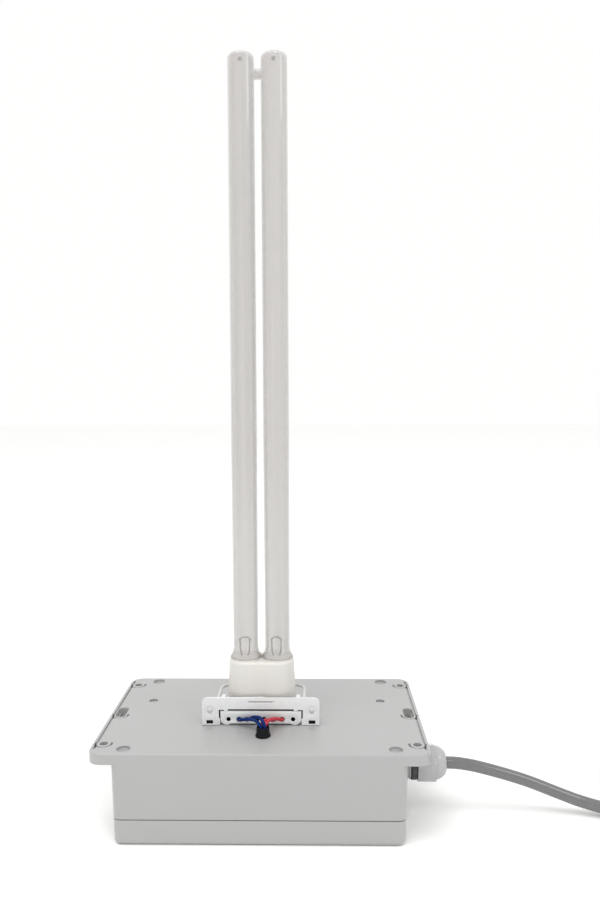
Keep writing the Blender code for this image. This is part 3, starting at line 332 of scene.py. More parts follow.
def shaped(item, steps, edge, angle):
    """Apply a list of (operation, drawing function) Booleans, then round the edges."""
    tools = []
    for number, (operation, draw) in enumerate(steps):
        tool = link(bpy.data.objects.new(f"{item.name}_tool_{number}", mesh_of("tool", draw)))
        modifier = item.modifiers.new("shape", "BOOLEAN")
        modifier.operation = operation
        modifier.object = tool
        tools.append(tool)
    if edge > 0:
        bevel = item.modifiers.new("edges", "BEVEL")
        bevel.width = edge * MM
        bevel.segments = 2
        bevel.limit_method = "ANGLE"
        bevel.angle_limit = math.radians(40)
        bevel.use_clamp_overlap = False
    bake_modifiers(item, angle)
    for tool in tools:
        bpy.data.objects.remove(tool, do_unlink=True)
    return item


def flatten(item):
    """Shade the large faces flat."""
    least = 60.0 * MM * MM
    for face in item.data.polygons:
        if face.area > least:
            face.use_smooth = False


def show(item, m, body, slot, *nodes, finish=None):
    """Finish a piece: its material, the body that it rides on and the CAD nodes that it stands for."""
    item.data.materials.clear()
    item.data.materials.append(m[finish or slot])
    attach(item, body)
    if nodes:
        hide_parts(*nodes)
    return item


def piece(name, draw, steps=(), edge=0.0, angle=34):
    """A mesh piece: drawn, cut or joined by Booleans, and rounded by edge at its sharp edges."""
    item = link(bpy.data.objects.new(name, mesh_of(name, draw, angle)))
    if steps or edge:
        shaped(item, steps, edge, angle)
    return item


def tube(name, radius, points, spacing, sides=6):
    """A round wire along a smooth route."""
    curve = bpy.data.curves.new(name, "CURVE")
    curve.dimensions = "3D"
    curve.bevel_depth = radius * MM
    curve.bevel_resolution = sides
    curve.use_fill_caps = True
    spline = curve.splines.new("POLY")
    route = smooth_route(points, spacing)
    spline.points.add(len(route) - 1)
    for knot, place in zip(spline.points, route):
        knot.co = (*(place * MM), 1.0)
    return link(bpy.data.objects.new(name, curve))


def wire(name, radius, points, spacing, sides=6):
    """A tube as a mesh, for wires that ride on moving bodies."""
    curve = tube(name + "_curve", radius, points, spacing, sides)
    graph = bpy.context.evaluated_depsgraph_get()
    mesh = bpy.data.meshes.new_from_object(curve.evaluated_get(graph))
    mesh.shade_smooth()
    mesh.set_sharp_from_angle(angle=math.radians(60))
    bpy.data.objects.remove(curve, do_unlink=True)
    return link(bpy.data.objects.new(name, mesh))


# ---------------------------------------------------------------- materials

def plain(name, colour, roughness, metallic=0.0, **sockets):
    """Principled material with fixed values. Extra sockets are named with underscores."""
    material = bpy.data.materials.new(name)
    material.use_nodes = True
    shader = material.node_tree.nodes["Principled BSDF"]
    shader.inputs["Base Color"].default_value = (*colour, 1.0)
    shader.inputs["Roughness"].default_value = roughness
    shader.inputs["Metallic"].default_value = metallic
    for socket, value in sockets.items():
        shader.inputs[socket.replace("_", " ")].default_value = value
    return material


def noise_node(material, scale, detail, stretch=(1, 1, 1)):
    """Noise texture in the piece's own space. scale is in features per metre."""
    nodes, links = material.node_tree.nodes, material.node_tree.links
    place = nodes.new("ShaderNodeTexCoord")
    mapping = nodes.new("ShaderNodeMapping")
    mapping.inputs["Scale"].default_value = stretch
    noise = nodes.new("ShaderNodeTexNoise")
    noise.inputs["Scale"].default_value = scale
    noise.inputs["Detail"].default_value = detail
    noise.inputs["Roughness"].default_value = 0.55
    links.new(place.outputs["Object"], mapping.inputs["Vector"])
    links.new(mapping.outputs["Vector"], noise.inputs["Vector"])
    return noise.outputs["Fac"]


def ramp_between(material, value, low, high):
    """Map a noise value to a colour between low and high."""
    ramp = material.node_tree.nodes.new("ShaderNodeValToRGB")
    ramp.color_ramp.elements[0].position = 0.3
    ramp.color_ramp.elements[1].position = 0.7
    ramp.color_ramp.elements[0].color = (*low, 1)
    ramp.color_ramp.elements[1].color = (*high, 1)
    material.node_tree.links.new(value, ramp.inputs["Fac"])
    return ramp.outputs["Color"]


def map_value(material, value, low, high, start=0.3, end=0.7):
    node = material.node_tree.nodes.new("ShaderNodeMapRange")
    for socket, number in (("From Min", start), ("From Max", end), ("To Min", low), ("To Max", high)):
        node.inputs[socket].default_value = number
    material.node_tree.links.new(value, node.inputs["Value"])
    return node.outputs["Result"]


def scaled(colour, factor):
    return tuple(min(1.0, c * factor) for c in colour)


def surface(name, colour, roughness, spread, patch, grain, grain_height, rough_spread=0.08, metallic=0.0,
            tint=(1, 1, 1), **sockets):
    """Moulded, painted or metal surface: cloudy colour, uneven gloss and a fine grain."""
    material = plain(name, colour, roughness, metallic, **sockets)
    shader = material.node_tree.nodes["Principled BSDF"]
    links = material.node_tree.links
    dark = tuple(c * (1 - spread) * t for c, t in zip(colour, tint))  # tint is for the darker clouds
    cloud = noise_node(material, patch, 2.0)
    light = scaled(colour, 1 + spread / 2)
    links.new(ramp_between(material, cloud, dark, light), shader.inputs["Base Color"])
    smear = noise_node(material, patch * 2.7, 2.5)
    glossy, dull = max(0.02, roughness - rough_spread), min(1.0, roughness + rough_spread)
    links.new(map_value(material, smear, glossy, dull), shader.inputs["Roughness"])
    bump = material.node_tree.nodes.new("ShaderNodeBump")
    bump.inputs["Strength"].default_value = 0.4
    bump.inputs["Distance"].default_value = grain_height * MM
    links.new(noise_node(material, grain, 3.0), bump.inputs["Height"])
    links.new(bump.outputs["Normal"], shader.inputs["Normal"])
    return material


# Each finish: colour, roughness, spread of the colour, clouds and grains per metre, height of the grain in
# millimetres and, where they aren't the usual ones, spread of the roughness and metallic value.
FINISHES = {
    "box_grey": ((0.379, 0.383, 0.381), 0.28, 0.008, 14, 2400, 0.001, 0.006),
    "lid_grey": ((0.386, 0.388, 0.379), 0.3, 0.008, 16, 2400, 0.001, 0.006),
    "black_rubber": ((0.007, 0.008, 0.010), 0.6, 0.3, 300, 6000, 0.006, 0.1),
    "screw_steel": ((0.62, 0.62, 0.63), 0.34, 0.12, 700, 5000, 0.01, 0.1, 1.0),
    "zinc_sheet": ((0.6, 0.61, 0.63), 0.38, 0.22, 260, 1200, 0.01, 0.12, 1.0),
    "ferrite": ((0.05, 0.05, 0.055), 0.62, 0.3, 500, 4000, 0.03),
    "capacitor_film": ((0.05, 0.12, 0.4), 0.3, 0.1, 300, 2500, 0.01),
    "white_moulding": ((0.71, 0.714, 0.716), 0.36, 0.02, 100, 2000, 0.004, 0.05),
    "white_enamel": ((0.73, 0.735, 0.74), 0.28, 0.015, 90, 600, 0.003, 0.05),
    "rivet_nickel": ((0.60, 0.60, 0.595), 0.45, 0.06, 900, 5000, 0.003, 0.06, 0.35),
    "brass": ((0.72, 0.53, 0.25), 0.28, 0.15, 500, 5000, 0.01, 0.1, 1.0),
    "cap_plastic": ((0.675, 0.645, 0.612), 0.32, 0.02, 50, 1500, 0.003, 0.05),
    "cement": ((0.88, 0.86, 0.83), 0.6, 0.03, 300, 2500, 0.004),
    "electrode_wire": ((0.06, 0.05, 0.045), 0.5, 0.4, 1500, 8000, 0.02, 0.15, 0.5),
    "seal_rubber": ((0.045, 0.046, 0.047), 0.5, 0.2, 300, 6000, 0.006, 0.1),
    "tip_deposit": ((0.16, 0.15, 0.14), 0.5, 0.3, 900, 6000, 0.01),
    # The bail's finish is the white enamel made darker: painted shade on the thin wire.
    "shaded_bail_enamel": ((0.56, 0.555, 0.54), 0.4, 0.02, 90, 900, 0.002, 0.05),
    "wire_blue": ((0.0006, 0.018, 0.12), 0.3, 0.15, 400, 3500, 0.006),
    "wire_red": ((0.46, 0.016, 0.034), 0.34, 0.12, 400, 3500, 0.006),
    "wire_brown": ((0.16, 0.06, 0.025), 0.32, 0.15, 400, 3500, 0.01),
    "wire_green": ((0.1, 0.36, 0.06), 0.32, 0.15, 400, 3500, 0.01),
    "gland_grey": ((0.40, 0.403, 0.405), 0.14, 0.02, 90, 2000, 0.004, 0.05),
    "cord_sheath": ((0.125, 0.127, 0.127), 0.14, 0.06, 120, 2000, 0.003, 0.03),
    "plug_rubber": ((0.045, 0.045, 0.05), 0.45, 0.2, 200, 4000, 0.03, 0.1),
    "cable_tie": ((0.02, 0.02, 0.022), 0.4, 0.2, 400, 4000, 0.02),
}
EXTRAS = {
    "box_grey": {"tint": (1, 1, 0.995)},
    "black_rubber": {"Specular_IOR_Level": 0.15},
    "white_enamel": {"Coat_Weight": 0.25},
    "cap_plastic": {"tint": (1, 0.995, 0.985), "Subsurface_Weight": 0.05},
    "wire_blue": {"Specular_IOR_Level": 0.12},
    "cord_sheath": {"Specular_IOR_Level": 0.9},
}


def make_materials():
    """One material for each finish, the circuit board and the glass."""
    m = {name: surface(name, *finish, **EXTRAS.get(name, {})) for name, finish in FINISHES.items()}
    m["circuit_board"] = circuit_board()
    m["lamp_glass"] = lamp_glass()
    return m


def circuit_board():
    """Green board with a faint pattern of tracks under the solder mask."""
    material = surface("circuit_board", (0.03, 0.16, 0.07), 0.42, 0.15, 200, 3000, 0.01)
    shader = material.node_tree.nodes["Principled BSDF"]
    links = material.node_tree.links
    place = material.node_tree.nodes.new("ShaderNodeTexCoord")
    tracks = material.node_tree.nodes.new("ShaderNodeTexBrick")
    tracks.inputs["Scale"].default_value = 160
    tracks.inputs["Color1"].default_value = (0.03, 0.17, 0.07, 1)
    tracks.inputs["Color2"].default_value = (0.035, 0.2, 0.085, 1)
    tracks.inputs["Mortar"].default_value = (0.07, 0.30, 0.12, 1)
    links.new(place.outputs["Object"], tracks.inputs["Vector"])
    links.new(tracks.outputs["Color"], shader.inputs["Base Color"])
    return material


def lamp_glass():
    """Thin milky glass: see-through face on, denser where it turns away, with faint upright streaks of
    painted highlight in its colour.
    """
    material = plain("lamp_glass", (0.54, 0.52, 0.50), 0.06, IOR=1.5, Specular_IOR_Level=1.0)
    shader = material.node_tree.nodes["Principled BSDF"]
    links = material.node_tree.links
    # Upright streaks in the colour are painted highlight, standing in for the lamps' reflections.
    painted_highlight_streaks = noise_node(material, 500, 3.0, (1, 1, 0.006))
    links.new(ramp_between(material, painted_highlight_streaks, (0.47, 0.452, 0.438), (0.61, 0.588, 0.57)),
              shader.inputs["Base Color"])
    dust = noise_node(material, 900, 4.0)
    links.new(map_value(material, dust, 0.04, 0.14, 0.45, 0.8), shader.inputs["Roughness"])
    turn = material.node_tree.nodes.new("ShaderNodeLayerWeight")
    turn.inputs["Blend"].default_value = 0.5
    links.new(map_value(material, turn.outputs["Facing"], 0.36, 0.46, 0.25, 1.0), shader.inputs["Alpha"])
    return material


# ---------------------------------------------------------------- box and lid

def wall_loop(z, inset=0.0):
    """Outline of the box wall at height z, moved in by inset."""
    shrink = DRAFT * (FLANGE_Z - z) / FLANGE_Z + inset
    return rounded_loop(HALF_X - shrink, HALF_Y - shrink, max(CORNER_R - inset, 1.0))


def hollow_loop(z):
    shrink = DRAFT * (FLANGE_Z - z) / FLANGE_Z + WALL
    return at_height(rounded_loop(HALF_X - shrink, HALF_Y - shrink, HOLLOW_R), z)


def corners(x, y):
    return [(sx * x, sy * y) for sy in (-1, 1) for sx in (-1, 1)]


def rounded_edge(z, size, steps=4):
    """Pairs of (height, inset) for a rounded edge that ends at height z. A negative size turns it down."""
    turns = [math.radians(90 * i / steps) for i in range(steps + 1)]
    return [(z - size + size * math.sin(a), abs(size) * (1 - math.cos(a))) for a in turns]


def draw_flange(bm):
    half_x, half_y, radius = BOX_HIGH.x, HALF_Y, 8.0
    levels = [(FLANGE_Z, 0)] + rounded_edge(TOP, 0.9)
    loft(bm, [at_height(rounded_loop(half_x - d, half_y - d, radius - d), z) for z, d in levels])


def draw_walls(bm):
    loft(bm, [at_height(wall_loop(SEAM_Z, 0.3), SEAM_Z), at_height(wall_loop(SEAM_Z + 0.3), SEAM_Z + 0.3),
              at_height(wall_loop(FLANGE_Z), FLANGE_Z), at_height(wall_loop(FLANGE_Z, 1.0), FLANGE_Z + 1)])


def draw_hollow(bm):
    loft(bm, [hollow_loop(SEAM_Z - 1), hollow_loop(PANEL_Z)])


def draw_rim_grooves(bm):
    for side in (-1, 1):
        slab(bm, sorted((side * 95.6, side * 97.0)), (-54.0, 54.0), (TOP - 1.1, TOP + 1), 0.65)


def draw_boss_moats(bm):
    """Half-round moat in front of each fixing boss."""
    radius = 5.35
    for x, y in corners(*EAR_HOLE) + [(side * KEYHOLE[0], -5.3) for side in (-1, 1)]:
        loop = arc((x, y), radius, 180, 360, 24) + [(x + radius, y + 1.5), (x - radius, y + 1.5)]
        loft(bm, [at_height(loop, z) for z in (TOP - 3.2, TOP + 1)])


def draw_posts(bm):
    """The lid screws' posts, and the bosses of the ear holes and keyholes."""
    root, boss_r, chamfer = TOP - 4.2, 4.2, 0.3
    for x, y in corners(*POST):
        rod(bm, POST_R, (SEAM_Z, PANEL_Z + 1), upright(x, y))
    profile = [(0, root), (boss_r, root), (boss_r, TOP - chamfer), (3.9, TOP), (0, TOP)]
    for x, y in corners(*EAR_HOLE):
        turned(bm, profile, upright(x, y))
    for side in (-1, 1):
        centre = (side * KEYHOLE[0], KEYHOLE[1])
        loft(bm, [at_height(rounded_loop(boss_r - d, 8.5 - d, 4.0 - d, 8, centre), z)
                  for z, d in ((root, 0), (TOP - chamfer, 0), (TOP, chamfer))])


def draw_openings(bm):
    """Pilot holes, dimples, ear holes, keyhole pockets, screw seats and the wire outlet."""
    above, below = TOP + 1, PANEL_Z - 1
    dimple = [(0, TOP - 1.8), (3.8, TOP - 1.8), (4.1, TOP - 1.5), (4.1, above), (0, above)]
    for x, y in corners(*POST):
        rod(bm, 1.7, (SEAM_Z - 1, 33), upright(x, y))
        turned(bm, dimple, upright(x, y))
    for x, y in corners(*EAR_HOLE):
        rod(bm, 2.5, (FLANGE_Z - 1, above), upright(x, y))
    seat = [(0, below), (1.7, below), (1.7, TOP - 2.2), (2.95, TOP - 2.2), (2.95, above), (0, above)]
    for side in (-1, 1):
        pocket = rounded_loop(3.2, 7.5, 3.0, 8, (side * KEYHOLE[0], KEYHOLE[1]))
        loft(bm, [at_height(pocket, TOP - 3), at_height(pocket, above)])
        turned(bm, seat, upright(side * BALLAST_SCREW[0], BALLAST_SCREW[1]))
        rod(bm, 1.5, (below, above), upright(LAMP_GROUP_X + side * FOOT_SCREW[0], FOOT_SCREW[1]))
    rod(bm, 3.9, (below, above), upright(*OUTLET))
    rod(bm, GLAND_HOLE_R, (HALF_X - 6, HALF_X + 3), along_x(GLAND_Y, GLAND_Z))


def draw_keyhole(bm, side):
    """Teardrop slot: a round head at the front and a narrower neck behind it."""
    slot_r, head_r = 2.0, 3.0
    start = math.degrees(math.asin(slot_r / head_r))
    x = side * KEYHOLE[0]
    outline = arc((x, KEYHOLE[1] - 4.2), head_r, 90 + start, 450 - start, 24)
    outline += arc((x, KEYHOLE[1] + 5.2), slot_r, 0, 180, 12)
    loft(bm, [at_height(outline, FLANGE_Z - 1), at_height(outline, TOP + 1)])


def build_box(m):
    """Box shell, lid and the four screws that hold them together."""
    box = piece("box_shell", draw_flange, [
        ("UNION", draw_walls), ("DIFFERENCE", draw_hollow), ("DIFFERENCE", draw_rim_grooves),
        ("DIFFERENCE", draw_boss_moats), ("UNION", draw_posts),
        ("DIFFERENCE", draw_openings), ("DIFFERENCE", lambda bm: draw_keyhole(bm, -1)),
        ("DIFFERENCE", lambda bm: draw_keyhole(bm, 1))])
    flatten(box)
    show(box, m, "enclosure", "box_grey", "box_body")

    def draw_lid(bm):
        levels = list(reversed(rounded_edge(0, -3.0, 8))) + [(LID_TOP - 0.3, 0), (LID_TOP, 0.3)]
        loft(bm, [at_height(wall_loop(z, d), z) for z, d in levels])

    def lid_hollow(bm):
        loft(bm, [hollow_loop(WALL), hollow_loop(LID_TOP + 1)])

    def lid_columns(bm):
        for x, y in corners(*POST):
            rod(bm, POST_R, (WALL - 1, LID_TOP), upright(x, y))

    def lid_holes(bm):
        bore = [(0, -1), (3.4, -1), (3.4, 3.0), (1.9, 3.0), (1.9, LID_TOP + 1), (0, LID_TOP + 1)]
        for x, y in corners(*POST):
            turned(bm, bore, upright(x, y))
        outer, inner = wall_loop(LID_TOP, 1.1), wall_loop(LID_TOP, 2.8)
        loft(bm, [at_height(outer, LID_TOP - 2), at_height(outer, LID_TOP + 1), at_height(inner, LID_TOP + 1),
                  at_height(inner, LID_TOP - 2)], ring=True)

    lid = piece("lid_shell", draw_lid, [("DIFFERENCE", lid_hollow), ("UNION", lid_columns),
                                        ("DIFFERENCE", lid_holes)], 0.2)
    flatten(lid)
    show(lid, m, "lid", "lid_grey", "box_lid")
    profile = [(0, -30), (0.7, -30), (1.45, -28.8), (1.45, -2.7), (3.0, -2.7), (3.0, -1.2), (2.7, -0.75),
               (2.2, -0.5), (0, -0.5)]
    for number, (x, y) in enumerate(corners(*POST), start=1):
        place = upright(x, y) @ Matrix.Rotation(math.pi, 4, "X")
        screw = piece(f"lid_fixing_{number}", lambda bm: turned(bm, profile, place),
                      [("DIFFERENCE", lambda bm: draw_cross(bm, place, (-1.6, 0), 0))], 0.08)
        show(screw, m, f"screw_{number}", "screw_steel", f"lid_screw_{number}")


def draw_cross(bm, place, z_span, turn):
    """Cross recess of a screw head, turned by some degrees."""
    half = 0.35
    spins = [place @ Matrix.Rotation(math.radians(turn + 90 * quarter), 4, "Z") for quarter in range(4)]
    arm = [(CROSS_REACH, -half), (CROSS_REACH, half), (half, half)]
    loft(bm, [[spin @ Vector((x, y, z)) for spin in spins for x, y in arm] for z in z_span])


# ---------------------------------------------------------------- wire outlet, bracket, holder and bail

def build_outlet(m):
    """Rubber sleeve in the box top, and the four wires that run from the ballast through it to the holder."""
    seat = TOP + GAP
    sleeve = [(3.0, PANEL_Z - 2.5), (3.5, PANEL_Z - 2.5), (3.5, seat), (4.65, seat), (4.6, seat + 0.5),
              (4.2, seat + 1.2), (4.0, seat + 2.0), (3.9, seat + 5.2), (3.8, seat + 5.6), (3.6, seat + 5.7),
              (3.45, seat + 5.6), (3.0, seat + 3.2)]
    grommet = piece("outlet_sleeve", lambda bm: turned(bm, sleeve, upright(*OUTLET), closed=True))
    show(grommet, m, "enclosure", "black_rubber", "wire_grommet")
    terminals_x = (-60.3, -63.2, -66.1, -69.0)
    face_y, level_z = 8.0, 43.5
    runs = (
        ("blue_1", (-1, -1), 0, [(-1.2, -35.9, 62.3), (-4.2, -31.8, 63.0), (-9.6, -26.0, 61.2)]),
        ("blue_2", (1, -1), 1, [(1.7, -36.6, 62.5), (-0.6, -33.4, 65.0), (-4.6, -28.2, 63.6),
                                (-7.9, -24.2, 60.9)]),
        ("red_1", (-1, 1), 4, [(0.4, -33.4, 61.9), (2.0, -30.4, 62.4), (4.7, -25.6, 60.6)]),
        ("red_2", (1, 1), 5, [(3.0, -33.3, 62.2), (5.4, -30.0, 62.9), (9.4, -25.0, 61.0)]),
    )
    for number, (name, corner, entry, arch) in enumerate(runs):
        x = terminals_x[number]
        hole = (OUTLET[0] + 1.2 * corner[0], OUTLET[1] + 1.2 * corner[1])
        level = 42.0 - 3.0 * number
        lane = -27.0 + 2.5 * number
        route = [(x, face_y + 4.5, level_z), (x, face_y, level_z), (x, -1.5, level_z - 0.3),
                 (x + 7, lane + 8, level), (-42, lane - 3, level - 1),
                 (-18, hole[1] - 1 + corner[1], level - 3),
                 (hole[0] - 5, hole[1], level + 1 + 0.5 * corner[0]), (*hole, 50.0), (*hole, TOP + 4.0),
                 (*hole, TOP + 5.4)]
        entry_x = LAMP_GROUP_X + WIRE_ENTRIES[entry]
        route += arch + [(entry_x, FRONT - 0.6, FRONT_HOLE_Z + 0.1), (entry_x, -12.0, FRONT_HOLE_Z)]
        slot = "wire_" + name[:-2]
        show(tube("lead_" + name, WIRE_R, route, 0.9), m, "enclosure", slot, "lamp_wire_" + name)


def build_bracket(m):
    low, back = TOP + GAP, FRONT + SHEET
    half_x, top = PLATE_HALF_X, PLATE_HIGH.z
    radius = 3.5
    outline = [(-half_x, low), (half_x, low)] + arc((half_x - radius, top - radius), radius, 0, 90, 10)
    outline += arc((radius - half_x, top - radius), radius, 90, 180, 10)
    half = [(25.3, low - 1), (25.3, 59.4), (26.0, 59.4), (26.0, 64.9), (22.9, 64.9), (22.9, 64.15),
            (20.4, 64.15), (20.4, 65.3)]  # right half of the window
    countersink = [(0, FRONT - 1), (3.4, FRONT - 1), (3.4, FRONT), (2.6, FRONT + 0.22), (0, FRONT + 0.22)]

    def draw_foot(bm):
        slab(bm, (-half_x, half_x), (back - 0.6, 15.0), (low, low + SHEET), 0.4)
        slab(bm, (-2.2, 2.2), (FRONT, back), (top - 0.5, top + 0.3), 0.3)

    def openings(bm):
        plate(bm, half + [(-x, z) for x, z in reversed(half)], (FRONT - 1, -18.4))
        slab(bm, (-7.5, 7.5), (FRONT - 1, back + 1), (69.6, 70.3))
        for side in (-1, 1):
            slab(bm, sorted((side * 29.7, side * 33.8)), (FRONT - 1, back + 0.6), (55.8, 58.3))
            rivet = along_y(side * RIVET[0], RIVET[1])
            rod(bm, 1.35, (FRONT - 1, back + 1), rivet)
            rod(bm, 1.7, (low - 1, low + 2), upright(side * FOOT_SCREW[0], FOOT_SCREW[1]))
            turned(bm, countersink, rivet)
        slab(bm, (-9.5, 9.5), (FRONT - 1, FRONT + 0.16), (68.9, 71.2))

    bracket = piece("bracket_plate", lambda bm: plate(bm, outline, (FRONT, back)),
                    [("UNION", draw_foot), ("DIFFERENCE", openings)], 0.18)
    flatten(bracket)
    show(bracket, m, "enclosure", "white_enamel", "holder_bracket")

    def draw_painted_shade(bm):
        """Black sheet behind the notches and the sides and upper edge of the window: painted shade where the
        gaps behind the plate are in shadow.
        """
        corner = [(25.15, 56.45), (34.5, 56.45), (34.5, 59.0), (27.5, 59.0), (27.5, 66.2), (0, 66.2),
                  (0, 64.15), (25.15, 64.15)]
        for side in (-1, 1):
            plate(bm, [(side * x, z) for x, z in corner], (back + 0.05, back + 0.4))
            slab(bm, sorted((side * 29.6, side * 33.9)), (back + 0.1, back + 0.45), (55.7, 56.6))

    # A black sheet put where there is only shade: painted shade behind the plate's openings.
    painted_shade_piece = piece("painted_shade_sheet", draw_painted_shade)
    show(painted_shade_piece, m, "enclosure", "black_rubber")
    profile = [(0, FRONT - 0.55), (0.5, FRONT - 0.53), (1.0, FRONT - 0.42), (1.35, FRONT - 0.2),
               (1.5, FRONT + 0.1), (1.05, FRONT + 0.12), (1.05, back + GAP), (1.7, back + GAP),
               (1.7, back + 0.7), (1.2, back + 0.9), (0, back + 0.9)]
    head = low + SHEET + GAP
    stem = [(0, PANEL_Z + GAP), (1.2, PANEL_Z + GAP), (1.2, head), (2.8, head), (2.8, head + 0.8),
            (2.4, head + 1.5), (1.4, head + 1.95), (0, head + 2.0)]
    for side, word in ((-1, "left"), (1, "right")):
        place = along_y(side * RIVET[0], RIVET[1])
        rivet = piece("rivet_" + word, lambda bm: turned(bm, profile, place))
        show(rivet, m, "enclosure", "rivet_nickel", "bracket_rivet_" + word)
        place = upright(side * FOOT_SCREW[0], FOOT_SCREW[1])
        screw = piece("foot_screw_" + word, lambda bm: turned(bm, stem, place),
                      [("DIFFERENCE", lambda bm: draw_cross(bm, place, (head + 1.1, head + 3), 45))], 0.06)
        show(screw, m, "enclosure", "screw_steel", "bracket_screw_" + word)


def paint_hole_shade(item, material, is_inside):
    """Give the faces of deep holes a dark material, painted shade in the holes. is_inside takes a face's
    centre in millimetres.
    """
    item.data.materials.append(material)
    for face in item.data.polygons:
        if is_inside(face.center / MM):
            face.material_index = 1


def build_holder(m):
    """Holder moulding with its front plate and bail posts, the contacts in it and the pins of the lamp."""
    half_x = HOLDER_HALF_X
    block_top = 63.2
    lug, lug_z, lug_r, low = 21.0, 59.3, 4.0, 56.2
    drop = math.degrees(math.asin((lug_z - low) / lug_r))
    outline = [(half_x, 64.0), (-half_x, 64.0)]
    outline += arc((-lug, lug_z), lug_r, 180, 360 - drop, 20) + arc((lug, lug_z), lug_r, 180 + drop, 360, 20)
    above = block_top + 1
    socket = [(0, 57.6), (2.2, 57.6), (2.2, 61.9), (1.7, 61.9), (1.7, above), (0, above)]

    def block(bm):
        slab(bm, (0.6 - half_x, half_x - 0.6), (-19.2, 6.2), (TOP + 1.7, block_top), 2.0)

    def posts(bm):
        for side in (-1, 1):
            slab(bm, sorted((side * 22.05, side * 24.35)), (-19.3, -14.6), (block_top - 1.5, 72.6), 0.5)

    def openings(bm):
        for x in PINS_X:
            turned(bm, socket, upright(x, LAMP_Y))
        for x in WIRE_ENTRIES:
            rod(bm, 1.5, (FRONT - 1, -10.6), along_y(x, FRONT_HOLE_Z))
        for side in (-1, 1):
            rod(bm, 1.35, (FRONT - 1, -16.5), along_y(side * SIDE_HOLE_X, FRONT_HOLE_Z))
            rod(bm, 1.4, (side * 23.2 - 2, side * 23.2 + 2), along_x(*BAIL_PIVOT))

    holder = piece("holder_moulding", block, [
        ("UNION", lambda bm: plate(bm, outline, (FRONT, -18.7))), ("UNION", posts),
        ("DIFFERENCE", openings)], 0.22)
    show(holder, m, "enclosure", "white_moulding", "holder_body")
    fronts = WIRE_ENTRIES + (-SIDE_HOLE_X, SIDE_HOLE_X)
    # The faces inside the front holes get black rubber: painted shade in the holes.
    paint_hole_shade(holder, m["black_rubber"], lambda c: FRONT + 0.4 < c.y < -10 and any(
        math.hypot(c.x - x, c.z - FRONT_HOLE_Z) < 1.6 for x in fronts))
    sleeve = [(1.3, 57.9), (1.85, 57.9), (1.85, 61.6), (1.3, 61.6)]
    profile = [(0, 58.0), (0.6, 58.0), (1.0, 58.35), (1.18, 58.9), (1.18, 70.5), (0, 70.5)]
    for number, x in enumerate(PINS_X, start=1):
        contact = piece(f"contact_{number}", lambda bm: turned(bm, sleeve, upright(x, LAMP_Y), closed=True))
        show(contact, m, "enclosure", "brass", f"holder_contact_{number}")
        pin = piece(f"cap_pin_{number}", lambda bm: turned(bm, profile, upright(x, LAMP_Y)))
        show(pin, m, "lamp", "brass", f"lamp_pin_{number}")


def build_bail(m):
    """Wire bail, hooked into the holder's posts and running round the back of the cap."""
    y, z = BAIL_PIVOT
    half_x, hook_r, corner_r, back_y, drop = 26.7, 1.8, 7.5, 8.4, 0.6
    side = [(22.6, y), (half_x - hook_r, y)] + arc((half_x - hook_r, y + hook_r), hook_r, -60, 0, 2)
    side += [(half_x, -10.0), (half_x, -4.0)]
    side += arc((half_x - corner_r, back_y - corner_r), corner_r, 0, 90, 3)
    side += [(10.0, back_y), (3.5, back_y)]
    fall = drop / (back_y - y)
    route = [(px, py, z - fall * (py - y)) for px, py in side + [(-px, py) for px, py in reversed(side)]]
    # The bail wears a darker copy of the white enamel, painted shade.
    show(wire("bail_wire", BAIL_R, route, 0.7, 8), m, "bail", "white_enamel", "retaining_bail",
         finish="shaded_bail_enamel")


# ---------------------------------------------------------------- lamp

def cap_loop(z, inset):
    """Outline of the lamp cap: round ends, a faint waist in the middle, a little narrower towards its top."""
    rise = (z - CAP_LOW.z) / (CAP_HIGH.z - CAP_LOW.z)
    half_x = CAP_HALF_X - 1.25 * rise - inset
    half_y = (CAP_HIGH.y - CAP_LOW.y) / 2 - 0.3 * rise - inset
    straight = half_x - half_y
    waist_x = [straight * t / 8 for t in range(7, -8, -1)]
    waist = [(x, half_y - 0.7 * math.exp(-(x / 3.0) ** 2)) for x in waist_x]
    half = arc((straight, 0), half_y, -90, 90, 40) + waist
    return [(x, LAMP_Y + y, z) for x, y in half + [(-x, -y) for x, y in half]]


def draw_tube_pair(bm, low, top, thin=0.0):
    """Two tubes side by side: flared above the cap, domed and sealed off at the tip. thin draws the bore."""
    flare = ((9.7, 0.3), (9.65, 0.9), (9.3, 2.0), (8.75, 3.6), (8.3, 5.2), (8.05, 7.0), (8.0, 8.5))
    dome = ((8.0, 4.2), (7.93, 3.2), (7.7, 2.4), (7.1, 1.7), (6.1, 1.15), (4.8, 0.75), (3.2, 0.5),
            (2.0, 0.45))
    seal = ((1.5, 0.4), (1.1, 0.15), (0.7, 0.03), (0.3, 0.0))
    profile = [(0, low), (TUBE_R - thin, low), (TUBE_R - thin, CAP_HIGH.z + 0.2)]
    profile += [(radius - thin, CAP_HIGH.z + rise) for radius, rise in flare]
    profile += [(radius - thin, top - fall) for radius, fall in dome]
    if not thin:
        profile += [(radius, top - fall) for radius, fall in seal]
    profile.append((0, profile[-1][1]))
    for side in (-1, 1):
        turned(bm, profile, upright(side * TUBE_X, LAMP_Y), 72)


